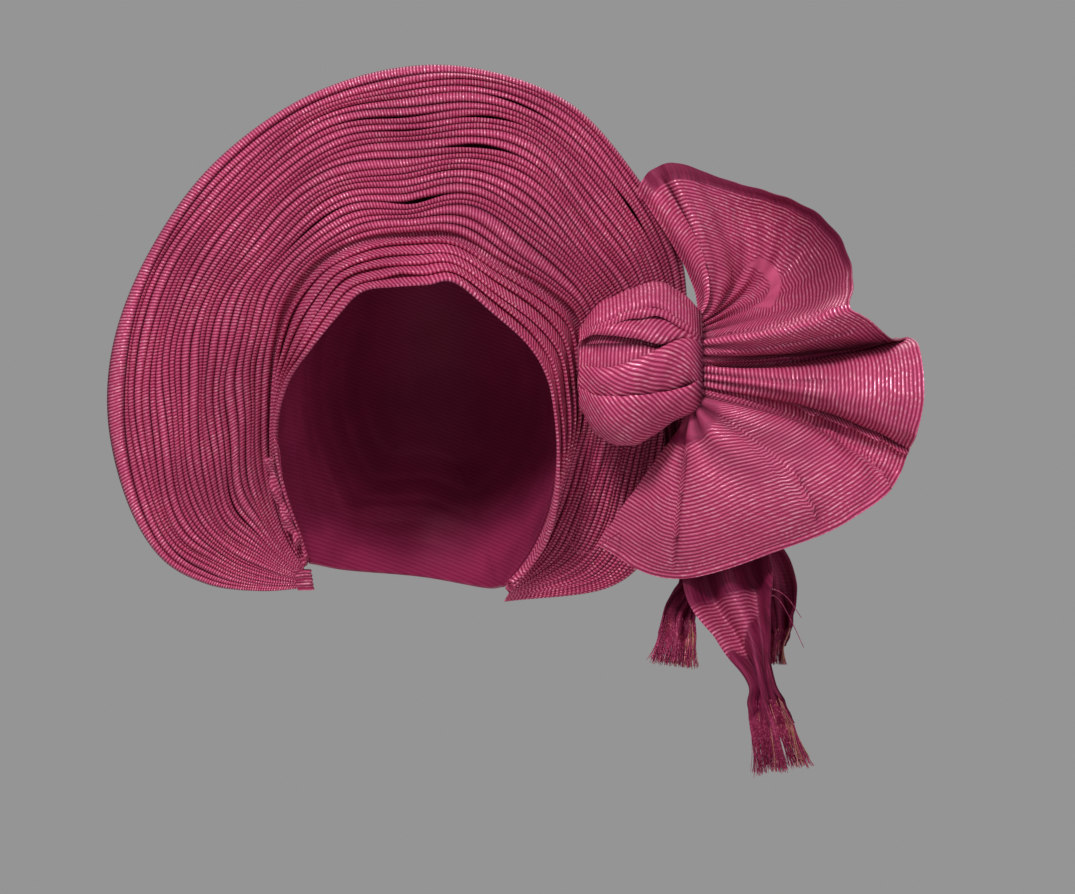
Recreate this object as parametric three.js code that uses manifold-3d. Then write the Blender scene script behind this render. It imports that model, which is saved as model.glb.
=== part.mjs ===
// A gele: one long, stiff cloth pleated and wound into a head tie. Five flat folds edge the front
// opening, narrow pleats fan out from them into a halo, a plain wrap closes the back, and the two
// ends are wound into a knot from which a ruffled bow and three fringed tails come out.
// Millimetres, +Z up. The opening faces -Y, and the origin is the middle of the hollow.

import * as THREE from 'three';
import { mergeVertices } from 'three/addons/utils/BufferGeometryUtils.js';
import Module from 'manifold-3d';

const wasm = await Module();
wasm.setup();

// Driving dimensions
const OPENING_HALF_WIDTH = 75;
const OPENING_HALF_HEIGHT = 105;
const HOLLOW_HALF_DEPTH = 97;
const HALO_HALF_WIDTH = 168;
const HALO_HEIGHT = 184;
const HALO_SETBACK = 20;
const CLEARANCE = 0.4;

const BAND_FOLDS = 5;
const BAND_STEPS = 28;
const BAND_COLUMNS = [0, 0.45, 1];
const BAND_WALL = 1.2;
const BAND_TUCK = 0.35;
const BAND_GAP = 0.75;

const PLEATS = 21;
const HALO_STEPS = 28;
const PLEAT_DEPTH = 5.5;
const PLEAT_STEEPNESS = 1.4;
const PLEAT_WALL = 3.4;

const WRAP_WALL = 2;
const WRAP_FOLD = 1.6;
const WRAP_RINGS = 8;
const WRAP_HEM_STEPS = 10;
const WRAP_LAP = 0.03;
const WRAP_SETTLE = 0.4;

const KNOT_HEIGHT = 78;
const KNOT_THICKNESS = 50;
const KNOT_OVERHANG = 5;
const KNOT_LAP = 0.06;
const KNOT_LEAN = 0.2;
const KNOT_STEPS = 12;
const KNOT_CREASE_DEPTH = 3;
const NECK_LEAN = 0.05;
const NECK_HALF_HEIGHT = 24;
const NECK_BULGE = 9;

const BOW_REACH = 112;
const BOW_RUFFLE = 40;
const BOW_WALL = 1.6;
const BOW_STEPS = 47;
const BOW_RINGS = 6;

const TAIL_LENGTH = 185;
const TAIL_WIDTH = 46;
const TAIL_WALL = 1.6;
const TAIL_STEPS = 10;
const TAIL_COLUMNS = 4;
const TAIL_CURL = 0.22;
const FRINGE_LENGTH = 22;
const FRINGE_SHARES = { tail_front: 1, tail_side: 0.65, tail_back: 0.4 };
const FRINGE_SPREAD = 0.2;
const LOCKS_PER_TAIL = 5;
const LOCK_ROOT = 3;
const SHORT_LOCK = 0.8;

const TIE_RADIUS = 3.2;
const TIE_STEPS = 12;
const TIE_SIDES = 6;
const TIE_LUMPS = 3;
const TIE_WAIST = 0.55;

const TAB_LENGTH = 5;
const TAB_WALL = 1.2;
const TAB_FLARE = 2;
const TAB_STEPS = 6;

// The tie's ends, as shares of the way from the left gather to the right gather, and the tab's
// ends, as shares of the way from the fan's root to its rim at the left gather.
const TIE_TOP = 0.155;
const TIE_FOOT = 0.03;
const TAB_TOP = 0.12;
const TAB_FOOT = 1.12;

// The halo, one row per station round the opening from the left gather over the top to the
// right gather. Columns: front edge x y z, fan root x y z and fan rim x y z. The edge and the
// root are shares of the opening's half width, the hollow's half depth and the opening's half
// height, and the rim is in shares of the halo's half width, its setback and its height.
const HALO_ROWS = {
  left_gather: [-0.84, 0.08, -0.71, -0.86, 0.12, -0.76, -0.39, 0.80, -0.50],
  left_low_1: [-0.90, 0.05, -0.57, -0.97, 0.11, -0.64, -0.54, 0.95, -0.51],
  left_low_2: [-0.97, -0.02, -0.40, -1.05, 0.09, -0.44, -0.71, 1.05, -0.49],
  left_low_3: [-1.02, -0.12, -0.22, -1.08, 0.05, -0.24, -0.86, 1.05, -0.41],
  left_side_1: [-1.02, -0.25, -0.05, -1.08, -0.02, -0.03, -0.965, 0.90, -0.24],
  left_side_2: [-0.92, -0.41, 0.16, -1.06, -0.10, 0.19, -1.02, 0.70, 0.00],
  left_side_3: [-0.75, -0.56, 0.32, -1.02, -0.20, 0.38, -0.99, 0.45, 0.24],
  left_rise: [-0.57, -0.66, 0.47, -0.93, -0.29, 0.57, -0.87, 0.20, 0.49],
  left_crown: [-0.41, -0.72, 0.58, -0.73, -0.38, 0.74, -0.68, -0.05, 0.72],
  top_left: [-0.20, -0.78, 0.60, -0.44, -0.45, 0.84, -0.41, -0.30, 0.90],
  top_middle: [0.03, -0.80, 0.61, -0.11, -0.51, 0.87, -0.12, -0.50, 0.99],
  top_peak: [0.20, -0.80, 0.62, 0.20, -0.53, 0.86, 0.16, -0.60, 0.99],
  top_right: [0.44, -0.77, 0.48, 0.49, -0.51, 0.74, 0.45, -0.50, 0.89],
  right_crown: [0.68, -0.68, 0.33, 0.81, -0.42, 0.61, 0.66, -0.25, 0.68],
  knot_top: [0.81, -0.58, 0.18, 1.01, -0.33, 0.48, 0.79, 0.00, 0.48],
  knot_middle: [0.86, -0.48, 0.00, 1.06, -0.26, 0.26, 0.82, 0.15, 0.27],
  knot_bottom: [0.88, -0.39, -0.20, 1.06, -0.19, 0.02, 0.83, 0.25, 0.05],
  right_low_1: [0.86, -0.26, -0.43, 0.95, -0.07, -0.24, 0.80, 0.40, -0.16],
  right_low_2: [0.79, -0.10, -0.62, 0.86, 0.01, -0.47, 0.72, 0.65, -0.37],
  right_low_3: [0.68, -0.01, -0.75, 0.73, 0.07, -0.68, 0.57, 0.85, -0.50],
  right_gather: [0.56, 0.03, -0.83, 0.54, 0.10, -0.88, 0.24, 0.75, -0.54],
};

// The lower back edge of the wrap from the right gather to the left gather, in shares of the
// opening's half width, the hollow's half depth and the opening's half height.
const BACK_HEM_ROWS = {
  hem_right: [0.40, 0.36, -0.89],
  hem_middle: [-0.08, 0.62, -0.84],
  hem_left: [-0.62, 0.42, -0.80],
};

// The knot, one row per section from the fan's root to the neck. Columns: middle height and
// half height in shares of KNOT_HEIGHT, front and back depth in shares of KNOT_THICKNESS, then
// the heights of its four creases from the top, as shares of the section's half height.
const KNOT_ROWS = {
  tip: [-0.02, 0.24, 0.16, 0.18, 0.72, 0.55, 0.05, -0.50],
  shoulder: [-0.03, 0.42, 0.36, 0.30, 0.62, 0.45, 0.00, -0.40],
  left_lobe: [-0.03, 0.48, 0.46, 0.44, 0.66, 0.42, 0.04, -0.37],
  middle: [0.01, 0.50, 0.50, 0.49, 0.62, 0.29, 0.06, -0.40],
  right_lobe: [0.06, 0.47, 0.46, 0.50, 0.56, 0.20, 0.05, -0.48],
  taper: [0.07, 0.39, 0.36, 0.40, 0.46, 0.30, 0.16, -0.50],
  neck: [0.03, 0.31, 0.24, 0.26, 0.40, 0.28, 0.12, -0.42],
};

// The rest of a knot section's outline. Lobes are rounded at these shares of the way from one
// crease to the next, and the plain back has these heights as shares of the half height.
const KNOT_LOBE_SHARES = [0.3, 0.7];
const KNOT_BACK_LEVELS = [-1, -0.75, -0.3, 0.3, 0.75];

// The bow, one row per radial fold from the scoop's left edge over the top to the lower panel.
// Columns: hem x z and forward, then mid-fold x z and forward. The x and z columns are shares
// of BOW_REACH from the neck and the forward columns are shares of BOW_RUFFLE.
const BOW_ROWS = {
  scoop_edge: [-0.29, 0.82, -0.78, -0.05, 0.42, -0.50],
  scoop_corner: [-0.23, 0.91, -0.70, 0.01, 0.46, -0.30],
  scoop_roll: [-0.11, 0.95, -0.60, 0.08, 0.46, -0.45],
  scoop_back_1: [0.12, 0.88, -0.80, 0.20, 0.48, -0.90],
  scoop_back_2: [0.37, 0.82, -0.95, 0.31, 0.46, -1.10],
  scoop_back_3: [0.57, 0.71, -0.95, 0.39, 0.40, -1.10],
  scoop_turn: [0.69, 0.54, -0.65, 0.42, 0.32, -0.80],
  lip_rise: [0.71, 0.38, -0.05, 0.40, 0.23, -0.20],
  lip_crest: [0.67, 0.26, 0.60, 0.34, 0.16, 0.50],
  lip_under: [0.77, 0.20, 0.45, 0.35, 0.09, 0.30],
  valley_top: [0.88, 0.13, -0.05, 0.40, 0.05, -0.15],
  valley: [0.97, 0.13, -0.35, 0.42, 0.02, -0.30],
  wing_top: [1.01, 0.07, 0.00, 0.45, -0.02, 0.05],
  wing: [1.02, -0.14, 0.30, 0.50, -0.10, 0.25],
  wing_low: [0.99, -0.32, 0.20, 0.53, -0.17, 0.20],
  tuck_top: [0.97, -0.39, -0.20, 0.54, -0.22, -0.10],
  tuck: [0.92, -0.52, -0.25, 0.54, -0.28, -0.20],
  tuck_low: [0.83, -0.62, 0.10, 0.52, -0.34, 0.20],
  panel_right: [0.63, -0.74, 0.20, 0.38, -0.46, 0.35],
  panel_1: [0.40, -0.84, 0.10, 0.21, -0.54, 0.35],
  panel_2: [0.12, -0.95, -0.10, 0.04, -0.60, 0.25],
  panel_crease: [-0.11, -0.99, -0.40, -0.10, -0.60, 0.05],
  panel_left: [-0.29, -0.94, -0.65, -0.17, -0.55, -0.15],
  panel_edge: [-0.48, -0.84, -0.85, -0.24, -0.49, -0.40],
};

// Where the tails leave the knot, from the neck: x and z in shares of the knot's height and y
// forward in shares of its thickness.
const TAIL_HEADS = {
  tail_front: [-0.038, -0.247, -0.192],
  tail_side: [-0.202, -0.318, -0.296],
  tail_back: [-0.071, -0.190, -0.333],
};

// The tails, one row per section from the knot down to the fringe. Columns: x and z from the
// tail's head and y forward of it in shares of TAIL_LENGTH, half width in shares of TAIL_WIDTH,
// and the turn of the width about the tail's line in quarter turns.
const TAIL_ROWS = {
  tail_front: [
    [0, 0, 0, 0.1, 0],
    [0.056, -0.236, -0.058, 0.38, 0.1],
    [0.096, -0.486, -0.048, 0.52, 0.1],
    [0.146, -0.636, -0.008, 0.36, 0.3],
    [0.186, -0.766, 0.032, 0.22, 0.6],
    [0.206, -0.846, 0.032, 0.24, 0.4],
    [0.221, -0.906, 0.022, 0.26, 0.2],
  ],
  tail_side: [
    [0, 0, 0, 0.08, 0.2],
    [0.035, -0.266, -0.12, 0.14, 0.2],
    [0.075, -0.466, -0.15, 0.17, 0.1],
    [0.035, -0.566, -0.14, 0.18, 0],
    [0.025, -0.636, -0.13, 0.22, 0],
  ],
  tail_back: [
    [0, 0, 0, 0.08, 0.2],
    [0.16, -0.34, -0.15, 0.22, 0.3],
    [0.25, -0.52, -0.17, 0.26, 0.2],
    [0.265, -0.65, -0.16, 0.22, 0.4],
    [0.26, -0.72, -0.15, 0.13, 0.5],
  ],
};

// A fringe lock's half width and half thickness at its root, its middle and its tip: place along
// the lock and width as shares of its length and of the space between locks, then thickness as a
// share of the tail's own curled thickness.
const LOCK_ROWS = {
  middle: [0.5, 0.62, 0.8],
  tip: [1, 0.12, 0.1],
};
const LOCK_ROOT_WIDTH = 0.5;

// Vectors and splines

const vector = (x, y, z) => new THREE.Vector3(x, y, z);
const forward = vector(0, -1, 0);

// A uniform Catmull-Rom spline through the rows of a table, column by column.
function splineRow(rows, t) {
  const last = rows.length - 1;
  const place = Math.min(Math.max(t, 0), 1) * last;
  const i = Math.min(Math.floor(place), last - 1);
  const f = place - i;
  const here = rows[i];
  const next = rows[i + 1];
  const before = rows[i - 1] ?? here.map((value, c) => 2 * value - next[c]);
  const after = rows[i + 2] ?? next.map((value, c) => 2 * value - here[c]);
  return here.map((value, c) => {
    const slope = next[c] - before[c];
    const square = 2 * before[c] - 5 * value + 4 * next[c] - after[c];
    const cube = 3 * value - before[c] - 3 * next[c] + after[c];
    return 0.5 * (2 * value + f * (slope + f * (square + f * cube)));
  });
}

const haloTable = Object.values(HALO_ROWS);
const bowTable = Object.values(BOW_ROWS);
const knotTable = Object.values(KNOT_ROWS);

// Closed solids from grids of points

function quad(index, a, b, c, d) {
  index.push(a, b, c, a, c, d);
}

// Builds the geometry and turns every face outwards.
function closedGeometry(points, index) {
  const corner = (k) => points[index[k]];
  let volume = 0;
  for (let k = 0; k < index.length; k += 3) {
    volume += corner(k).dot(corner(k + 1).clone().cross(corner(k + 2)));
  }
  if (volume < 0) index.reverse();
  const geometry = new THREE.BufferGeometry();
  geometry.setAttribute('position', new THREE.Float32BufferAttribute(points.flatMap((p) => p.toArray()), 3));
  geometry.setIndex(index);
  geometry.computeVertexNormals();
  return geometry;
}

// A wall between a front and a back grid of points, each grid[row][column].
function wallGeometry(front, back) {
  const rows = front.length;
  const columns = front[0].length;
  const points = [...front.flat(), ...back.flat()];
  const f = (r, c) => r * columns + c;
  const b = (r, c) => rows * columns + f(r, c);
  const index = [];
  for (let r = 0; r < rows - 1; r += 1) {
    for (let c = 0; c < columns - 1; c += 1) {
      quad(index, f(r, c), f(r, c + 1), f(r + 1, c + 1), f(r + 1, c));
      quad(index, b(r, c), b(r + 1, c), b(r + 1, c + 1), b(r, c + 1));
    }
    quad(index, f(r, 0), f(r + 1, 0), b(r + 1, 0), b(r, 0));
    quad(index, f(r + 1, columns - 1), f(r, columns - 1), b(r, columns - 1), b(r + 1, columns - 1));
  }
  for (let c = 0; c < columns - 1; c += 1) {
    quad(index, f(0, c + 1), f(0, c), b(0, c), b(0, c + 1));
    quad(index, f(rows - 1, c), f(rows - 1, c + 1), b(rows - 1, c + 1), b(rows - 1, c));
  }
  return closedGeometry(points, index);
}

// A solid lofted through closed sections, with a point closing each end.
function loftGeometry(sections) {
  const count = sections[0].length;
  const last = sections.length - 1;
  const middle = (ring) => ring.reduce((sum, p) => sum.add(p), vector(0, 0, 0)).divideScalar(ring.length);
  const points = [...sections.flat(), middle(sections[0]), middle(sections[last])];
  const at = (r, k) => r * count + (k % count);
  const first = sections.length * count;
  const index = [];
  for (let k = 0; k < count; k += 1) {
    for (let r = 0; r < last; r += 1) {
      quad(index, at(r, k), at(r, k + 1), at(r + 1, k + 1), at(r + 1, k));
    }
    index.push(first, at(0, k + 1), at(0, k));
    index.push(first + 1, at(last, k), at(last, k + 1));
  }
  return closedGeometry(points, index);
}

// A cup: an outer and an inner set of rings, joined at the open edge, each closed at its pole.
function cupGeometry(outer, inner, outerPole, innerPole) {
  const count = outer[0].length;
  const last = outer.length - 1;
  const points = [...outer.flat(), ...inner.flat(), outerPole, innerPole];
  const o = (r, k) => r * count + (k % count);
  const n = (r, k) => outer.length * count + o(r, k);
  const pole = 2 * outer.length * count;
  const index = [];
  for (let k = 0; k < count; k += 1) {
    for (let r = 0; r < last; r += 1) {
      quad(index, o(r, k), o(r, k + 1), o(r + 1, k + 1), o(r + 1, k));
      quad(index, n(r, k), n(r + 1, k), n(r + 1, k + 1), n(r, k + 1));
    }
    index.push(o(last, k), o(last, k + 1), pole);
    index.push(n(last, k + 1), n(last, k), pole + 1);
    quad(index, o(0, k + 1), o(0, k), n(0, k), n(0, k + 1));
  }
  return closedGeometry(points, index);
}

function toManifold(geometry) {
  const bare = geometry.clone();
  bare.deleteAttribute('normal');
  const merged = mergeVertices(bare, 1e-5);
  return new wasm.Manifold(new wasm.Mesh({
    numProp: 3,
    vertProperties: new Float32Array(merged.attributes.position.array),
    triVerts: new Uint32Array(merged.index.array),
  }));
}

function fromManifold(solid) {
  const mesh = solid.getMesh();
  const geometry = new THREE.BufferGeometry();
  geometry.setAttribute('position', new THREE.BufferAttribute(new Float32Array(mesh.vertProperties), 3));
  geometry.setIndex(new THREE.BufferAttribute(new Uint32Array(mesh.triVerts), 1));
  geometry.computeVertexNormals();
  return geometry;
}

// The halo's surfaces

// The three lines of the halo at one station, from 0 at the left gather to 1 at the right.
function haloLines(t) {
  const [edgeX, edgeY, edgeZ, rootX, rootY, rootZ, rimX, rimY, rimZ] = splineRow(haloTable, t);
  return {
    edge: vector(edgeX * OPENING_HALF_WIDTH, edgeY * HOLLOW_HALF_DEPTH, edgeZ * OPENING_HALF_HEIGHT),
    root: vector(rootX * OPENING_HALF_WIDTH, rootY * HOLLOW_HALF_DEPTH, rootZ * OPENING_HALF_HEIGHT),
    rim: vector(rimX * HALO_HALF_WIDTH, rimY * HALO_SETBACK, rimZ * HALO_HEIGHT),
  };
}

// The outward direction of the strip between two of those lines.
function stripNormal(t, inner, outer) {
  const reach = 0.012;
  const before = haloLines(Math.max(t - reach, 0));
  const after = haloLines(Math.min(t + reach, 1));
  const here = haloLines(t);
  const along = after[inner].clone().add(after[outer]).sub(before[inner]).sub(before[outer]);
  const across = here[outer].clone().sub(here[inner]);
  return along.cross(across).normalize();
}

const bandLift = (BAND_WALL + BAND_GAP) * (1 + BAND_TUCK);

// A point on the band: share 0 at the front edge and 1 at the fan's root.
function bandPoint(t, share, height) {
  const { edge, root } = haloLines(t);
  return edge.lerp(root, share).addScaledVector(stripNormal(t, 'edge', 'root'), height);
}

const fanLift = PLEAT_WALL + CLEARANCE;

// A point on the fan: share 0 at its root and 1 at its rim, with its height straight forward.
function fanPoint(t, share, height) {
  const { rim } = haloLines(t);
  return bandPoint(t, 1, fanLift).lerp(rim, share).addScaledVector(forward, height);
}

// Each fold lies on the one inside it, lifted at its inner edge and tucked at its outer edge.
function bandFold(fold) {
  const pitch = 1 / BAND_FOLDS;
  const isLast = fold === BAND_FOLDS - 1;
  const width = isLast ? pitch : pitch * (1 + BAND_TUCK);
  const grid = (wall) => Array.from({ length: BAND_STEPS + 1 }, (_, r) => BAND_COLUMNS.map((c) =>
    bandPoint(r / BAND_STEPS, fold * pitch + c * width, bandLift * (1 - c) + wall)));
  return wallGeometry(grid(BAND_WALL), grid(0));
}

function pleatedFan() {
  const columns = 2 * PLEATS + 1;
  const grid = (shift) => Array.from({ length: HALO_STEPS + 1 }, (_, r) => {
    const t = r / HALO_STEPS;
    const { root, rim } = haloLines(t);
    const depth = Math.min(PLEAT_DEPTH, PLEAT_STEEPNESS * root.distanceTo(rim) / PLEATS);
    return Array.from({ length: columns }, (unused, c) =>
      fanPoint(t, c / (columns - 1), (c % 2 === 1 ? depth : 0) - shift));
  });
  return wallGeometry(grid(0), grid(PLEAT_WALL));
}

// The back wrap

// Distance from the origin to the rounded form of the crown, in one direction.
function crownRadius(direction) {
  const x = direction.x / OPENING_HALF_WIDTH;
  const y = direction.y / HOLLOW_HALF_DEPTH;
  const z = direction.z / OPENING_HALF_HEIGHT;
  return 1 / Math.hypot(x, y, z);
}

// The wrap's edge: under the fan's root from the left gather to the right, and back along the hem.
function wrapEdge() {
  const front = Array.from({ length: HALO_STEPS + 1 }, (_, r) =>
    bandPoint(r / HALO_STEPS, 1 - WRAP_LAP, -CLEARANCE));
  const hem = Object.values(BACK_HEM_ROWS).map(([x, y, z]) =>
    [x * OPENING_HALF_WIDTH, y * HOLLOW_HALF_DEPTH, z * OPENING_HALF_HEIGHT]);
  const line = [front[HALO_STEPS].toArray(), ...hem, front[0].toArray()];
  const back = Array.from({ length: WRAP_HEM_STEPS - 1 }, (_, r) =>
    vector(...splineRow(line, (r + 1) / WRAP_HEM_STEPS)));
  return [...front, ...back];
}

function backWrap() {
  const edge = wrapEdge();
  const pole = vector(0, 1, 0.1).normalize();
  const ring = (share, inset) => edge.map((point) => {
    const direction = point.clone().normalize();
    const angle = direction.angleTo(pole) * share;
    const axis = direction.clone().cross(pole).normalize();
    const turned = direction.clone().applyAxisAngle(axis, angle);
    const settle = Math.min(1, share / WRAP_SETTLE);
    const radius = THREE.MathUtils.lerp(point.length(), crownRadius(turned), settle);
    const fold = WRAP_FOLD * settle * (Math.round(share * WRAP_RINGS) % 2);
    return turned.multiplyScalar(radius + fold - inset);
  });
  const rings = (inset) => Array.from({ length: WRAP_RINGS }, (_, r) => ring(r / WRAP_RINGS, inset));
  const poleAt = (inset) => pole.clone().multiplyScalar(crownRadius(pole) - inset);
  return cupGeometry(rings(0), rings(WRAP_WALL), poleAt(0), poleAt(WRAP_WALL));
}

// The knot, the bow and the tails

const knotStation = Object.keys(HALO_ROWS).indexOf('knot_middle') / (haloTable.length - 1);
const knotSeat = fanPoint(knotStation, -KNOT_LAP, PLEAT_DEPTH + CLEARANCE);
const knotReach = fanPoint(knotStation, 1, 0).x + KNOT_OVERHANG - knotSeat.x;
const knotStart = vector(knotSeat.x, knotSeat.y - KNOT_LEAN * KNOT_THICKNESS, knotSeat.z);
const neck = knotStart.clone().add(vector(knotReach, -NECK_LEAN * KNOT_THICKNESS, 0));

// One section of the knot, lobed between the creases in front and plainly round behind.
function knotSection(t) {
  const [middle, halfShare, frontShare, backShare, ...creases] = splineRow(knotTable, t);
  const half = halfShare * KNOT_HEIGHT;
  const front = frontShare * KNOT_THICKNESS;
  const back = backShare * KNOT_THICKNESS;
  const centre = knotStart.clone().lerp(neck, t).add(vector(0, 0, middle * KNOT_HEIGHT));
  const ring = [];
  const marks = [1, ...creases, -1];
  for (let lobe = 0; lobe < marks.length - 1; lobe += 1) {
    for (const share of [0, ...KNOT_LOBE_SHARES]) {
      const level = THREE.MathUtils.lerp(marks[lobe], marks[lobe + 1], share);
      const round = Math.sqrt(Math.max(0, 1 - level * level));
      const crease = share === 0 ? KNOT_CREASE_DEPTH * Math.min(1, 2 * round) : 0;
      ring.push(centre.clone().add(vector(0, crease - front * round, level * half)));
    }
  }
  for (const level of KNOT_BACK_LEVELS) {
    ring.push(centre.clone().add(vector(0, back * Math.sqrt(1 - level ** 4), level * half)));
  }
  return ring;
}

function knot() {
  return loftGeometry(Array.from({ length: KNOT_STEPS + 1 }, (_, r) => knotSection(r / KNOT_STEPS)));
}

// A point of the bow: around from 0 at the scoop's edge to 1 at the panel's edge, and out from
// 0 at the neck to 1 at the hem.
function bowPoint(around, out) {
  const [hemX, hemZ, hemY, midX, midZ, midY] = splineRow(bowTable, around);
  const foot = vector(CLEARANCE + BOW_WALL / 2, -NECK_BULGE * Math.sin(Math.PI * around),
    NECK_HALF_HEIGHT * Math.cos(Math.PI * around));
  const hem = vector(hemX * BOW_REACH, -hemY * BOW_RUFFLE, hemZ * BOW_REACH);
  const mid = vector(midX * BOW_REACH, -midY * BOW_RUFFLE, midZ * BOW_REACH);
  return neck.clone()
    .addScaledVector(foot, (1 - out) * (1 - 2 * out))
    .addScaledVector(mid, 4 * out * (1 - out))
    .addScaledVector(hem, out * (2 * out - 1));
}

function bow() {
  const step = 0.01;
  const offset = (around, out) => {
    const along = bowPoint(Math.min(around + step, 1), out).sub(bowPoint(Math.max(around - step, 0), out));
    const across = bowPoint(around, Math.min(out + step, 1)).sub(bowPoint(around, Math.max(out - step, 0)));
    return along.cross(across).normalize();
  };
  const grid = (side) => Array.from({ length: BOW_STEPS + 1 }, (_, r) =>
    Array.from({ length: BOW_RINGS + 1 }, (unused, c) => {
      const around = r / BOW_STEPS;
      const out = c / BOW_RINGS;
      return bowPoint(around, out).addScaledVector(offset(around, out), side * BOW_WALL / 2);
    }));
  return wallGeometry(grid(1), grid(-1));
}

function tailFrame(name, t) {
  const rows = TAIL_ROWS[name];
  const [headX, headZ, headAhead] = TAIL_HEADS[name];
  const [x, z, ahead, half, turn] = splineRow(rows, t);
  const [nextX, nextZ, nextAhead] = splineRow(rows, Math.min(t + 0.02, 1));
  const [lastX, lastZ, lastAhead] = splineRow(rows, Math.max(t - 0.02, 0));
  const head = vector(headX * KNOT_HEIGHT, -headAhead * KNOT_THICKNESS, headZ * KNOT_HEIGHT);
  const centre = vector(x, -ahead, z).multiplyScalar(TAIL_LENGTH).add(neck).add(head);
  const line = vector(nextX - lastX, lastAhead - nextAhead, nextZ - lastZ).normalize();
  const side = vector(1, 0, 0).addScaledVector(line, -line.x).normalize();
  side.applyAxisAngle(line, turn * Math.PI / 2);
  return { centre, line, side, normal: line.clone().cross(side), half: half * TAIL_WIDTH };
}

// One tapered lock of fringe at the tail's end, across from -1 to 1 of the tail's half width.
function lock(end, across, pitch, length, spread) {
  const curled = TAIL_CURL * end.half + TAIL_WALL;
  const section = ([down, width, thick]) => {
    const middle = end.centre.clone()
      .addScaledVector(end.line, down * length)
      .addScaledVector(end.side, across * (end.half + spread * down));
    return [[-1, 0], [0, 1], [1, 0], [0, -1]].map(([s, n]) => middle.clone()
      .addScaledVector(end.side, s * width * pitch).addScaledVector(end.normal, n * thick * curled));
  };
  const root = [-LOCK_ROOT / length, LOCK_ROOT_WIDTH, 1];
  return loftGeometry([root, ...Object.values(LOCK_ROWS)].map(section));
}

// A curled strip, with the fringe in tapered locks joined to its end.
function tail(name) {
  const fringeLength = FRINGE_LENGTH * FRINGE_SHARES[name];
  const grid = (shift) => Array.from({ length: TAIL_STEPS + 1 }, (_, r) => {
    const { centre, side, normal, half } = tailFrame(name, r / TAIL_STEPS);
    return Array.from({ length: TAIL_COLUMNS + 1 }, (unused, c) => {
      const across = 2 * c / TAIL_COLUMNS - 1;
      const curl = TAIL_CURL * half * (c % 2 === 0 ? 1 : -1);
      return centre.clone().addScaledVector(side, across * half).addScaledVector(normal, curl + shift);
    });
  });
  let solid = toManifold(wallGeometry(grid(TAIL_WALL / 2), grid(-TAIL_WALL / 2)));
  const end = tailFrame(name, 1);
  for (let k = 0; k < LOCKS_PER_TAIL; k += 1) {
    const across = (2 * k + 1) / LOCKS_PER_TAIL - 1;
    const length = fringeLength * (k % 2 === 0 ? 1 : SHORT_LOCK);
    solid = solid.add(toManifold(
      lock(end, across, 2 * end.half / LOCKS_PER_TAIL, length, FRINGE_SPREAD * end.half)));
  }
  return fromManifold(solid);
}

// The small pieces at the left edge

// A twisted, lumpy cord of cloth that hangs down the left edge of the opening.
function sideTie() {
  const sections = Array.from({ length: TIE_STEPS + 1 }, (_, r) => {
    const t = r / TIE_STEPS;
    const station = THREE.MathUtils.lerp(TIE_TOP, TIE_FOOT, t);
    const lump = Math.abs(Math.cos(TIE_LUMPS * Math.PI * t));
    const radius = TIE_RADIUS * THREE.MathUtils.lerp(TIE_WAIST, 1, lump);
    const centre = bandPoint(station, 0.1, bandLift + BAND_WALL + CLEARANCE + radius);
    const out = stripNormal(station, 'edge', 'root');
    const across = haloLines(station).root.sub(haloLines(station).edge).normalize();
    return Array.from({ length: TIE_SIDES }, (unused, k) => {
      const angle = (k / TIE_SIDES + 0.5 * t) * 2 * Math.PI;
      const reach = radius * (k % 2 === 0 ? 1 : 0.75);
      return centre.clone().addScaledVector(out, reach * Math.sin(angle))
        .addScaledVector(across, reach * Math.cos(angle));
    });
  });
  return loftGeometry(sections);
}

// The tab folded round the gathered end of the pleats at the lower left.
function gatherTab() {
  const depth = PLEAT_WALL / 2 + 3 * CLEARANCE;
  const grid = (shift) => [TAB_TOP, TAB_FOOT].map((share) => {
    const middle = fanPoint(0, share, -PLEAT_WALL / 2 + 0.5 * CLEARANCE);
    const bend = Array.from({ length: TAB_STEPS + 1 }, (_, k) => {
      const angle = Math.PI * (k / TAB_STEPS - 0.5);
      return [CLEARANCE + (depth + shift) * Math.cos(angle), (depth + shift) * Math.sin(angle)];
    });
    const leg = depth + TAB_FLARE + shift;
    return [[-TAB_LENGTH, -leg], ...bend, [-TAB_LENGTH, leg]].map(([x, y]) =>
      middle.clone().add(vector(x, y, 0)));
  });
  return wallGeometry(grid(TAB_WALL), grid(0));
}

// The model

const CLOTH = { color: 0xbd4a72, roughness: 0.55, metalness: 0.25 };
const DARK_CLOTH = { color: 0x8e2f52, roughness: 0.6, metalness: 0.2 };

function part(name, geometry, finish = CLOTH) {
  const mesh = new THREE.Mesh(geometry, new THREE.MeshStandardMaterial(finish));
  mesh.name = name;
  return mesh;
}

const gele = new THREE.Group();
for (let fold = 0; fold < BAND_FOLDS; fold += 1) {
  gele.add(part(`band_fold_${fold + 1}`, bandFold(fold)));
}
gele.add(part('pleated_fan', pleatedFan()));
gele.add(part('back_wrap', backWrap(), DARK_CLOTH));
gele.add(part('knot', knot()));
gele.add(part('bow', bow()));
for (const name of Object.keys(TAIL_ROWS)) {
  gele.add(part(name, tail(name), DARK_CLOTH));
}
gele.add(part('side_tie', sideTie()));
gele.add(part('gather_tab', gatherTab()));

export default gele;
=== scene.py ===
"""A tied gele: pleated, wound and knotted striped cloth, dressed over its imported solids."""

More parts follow.
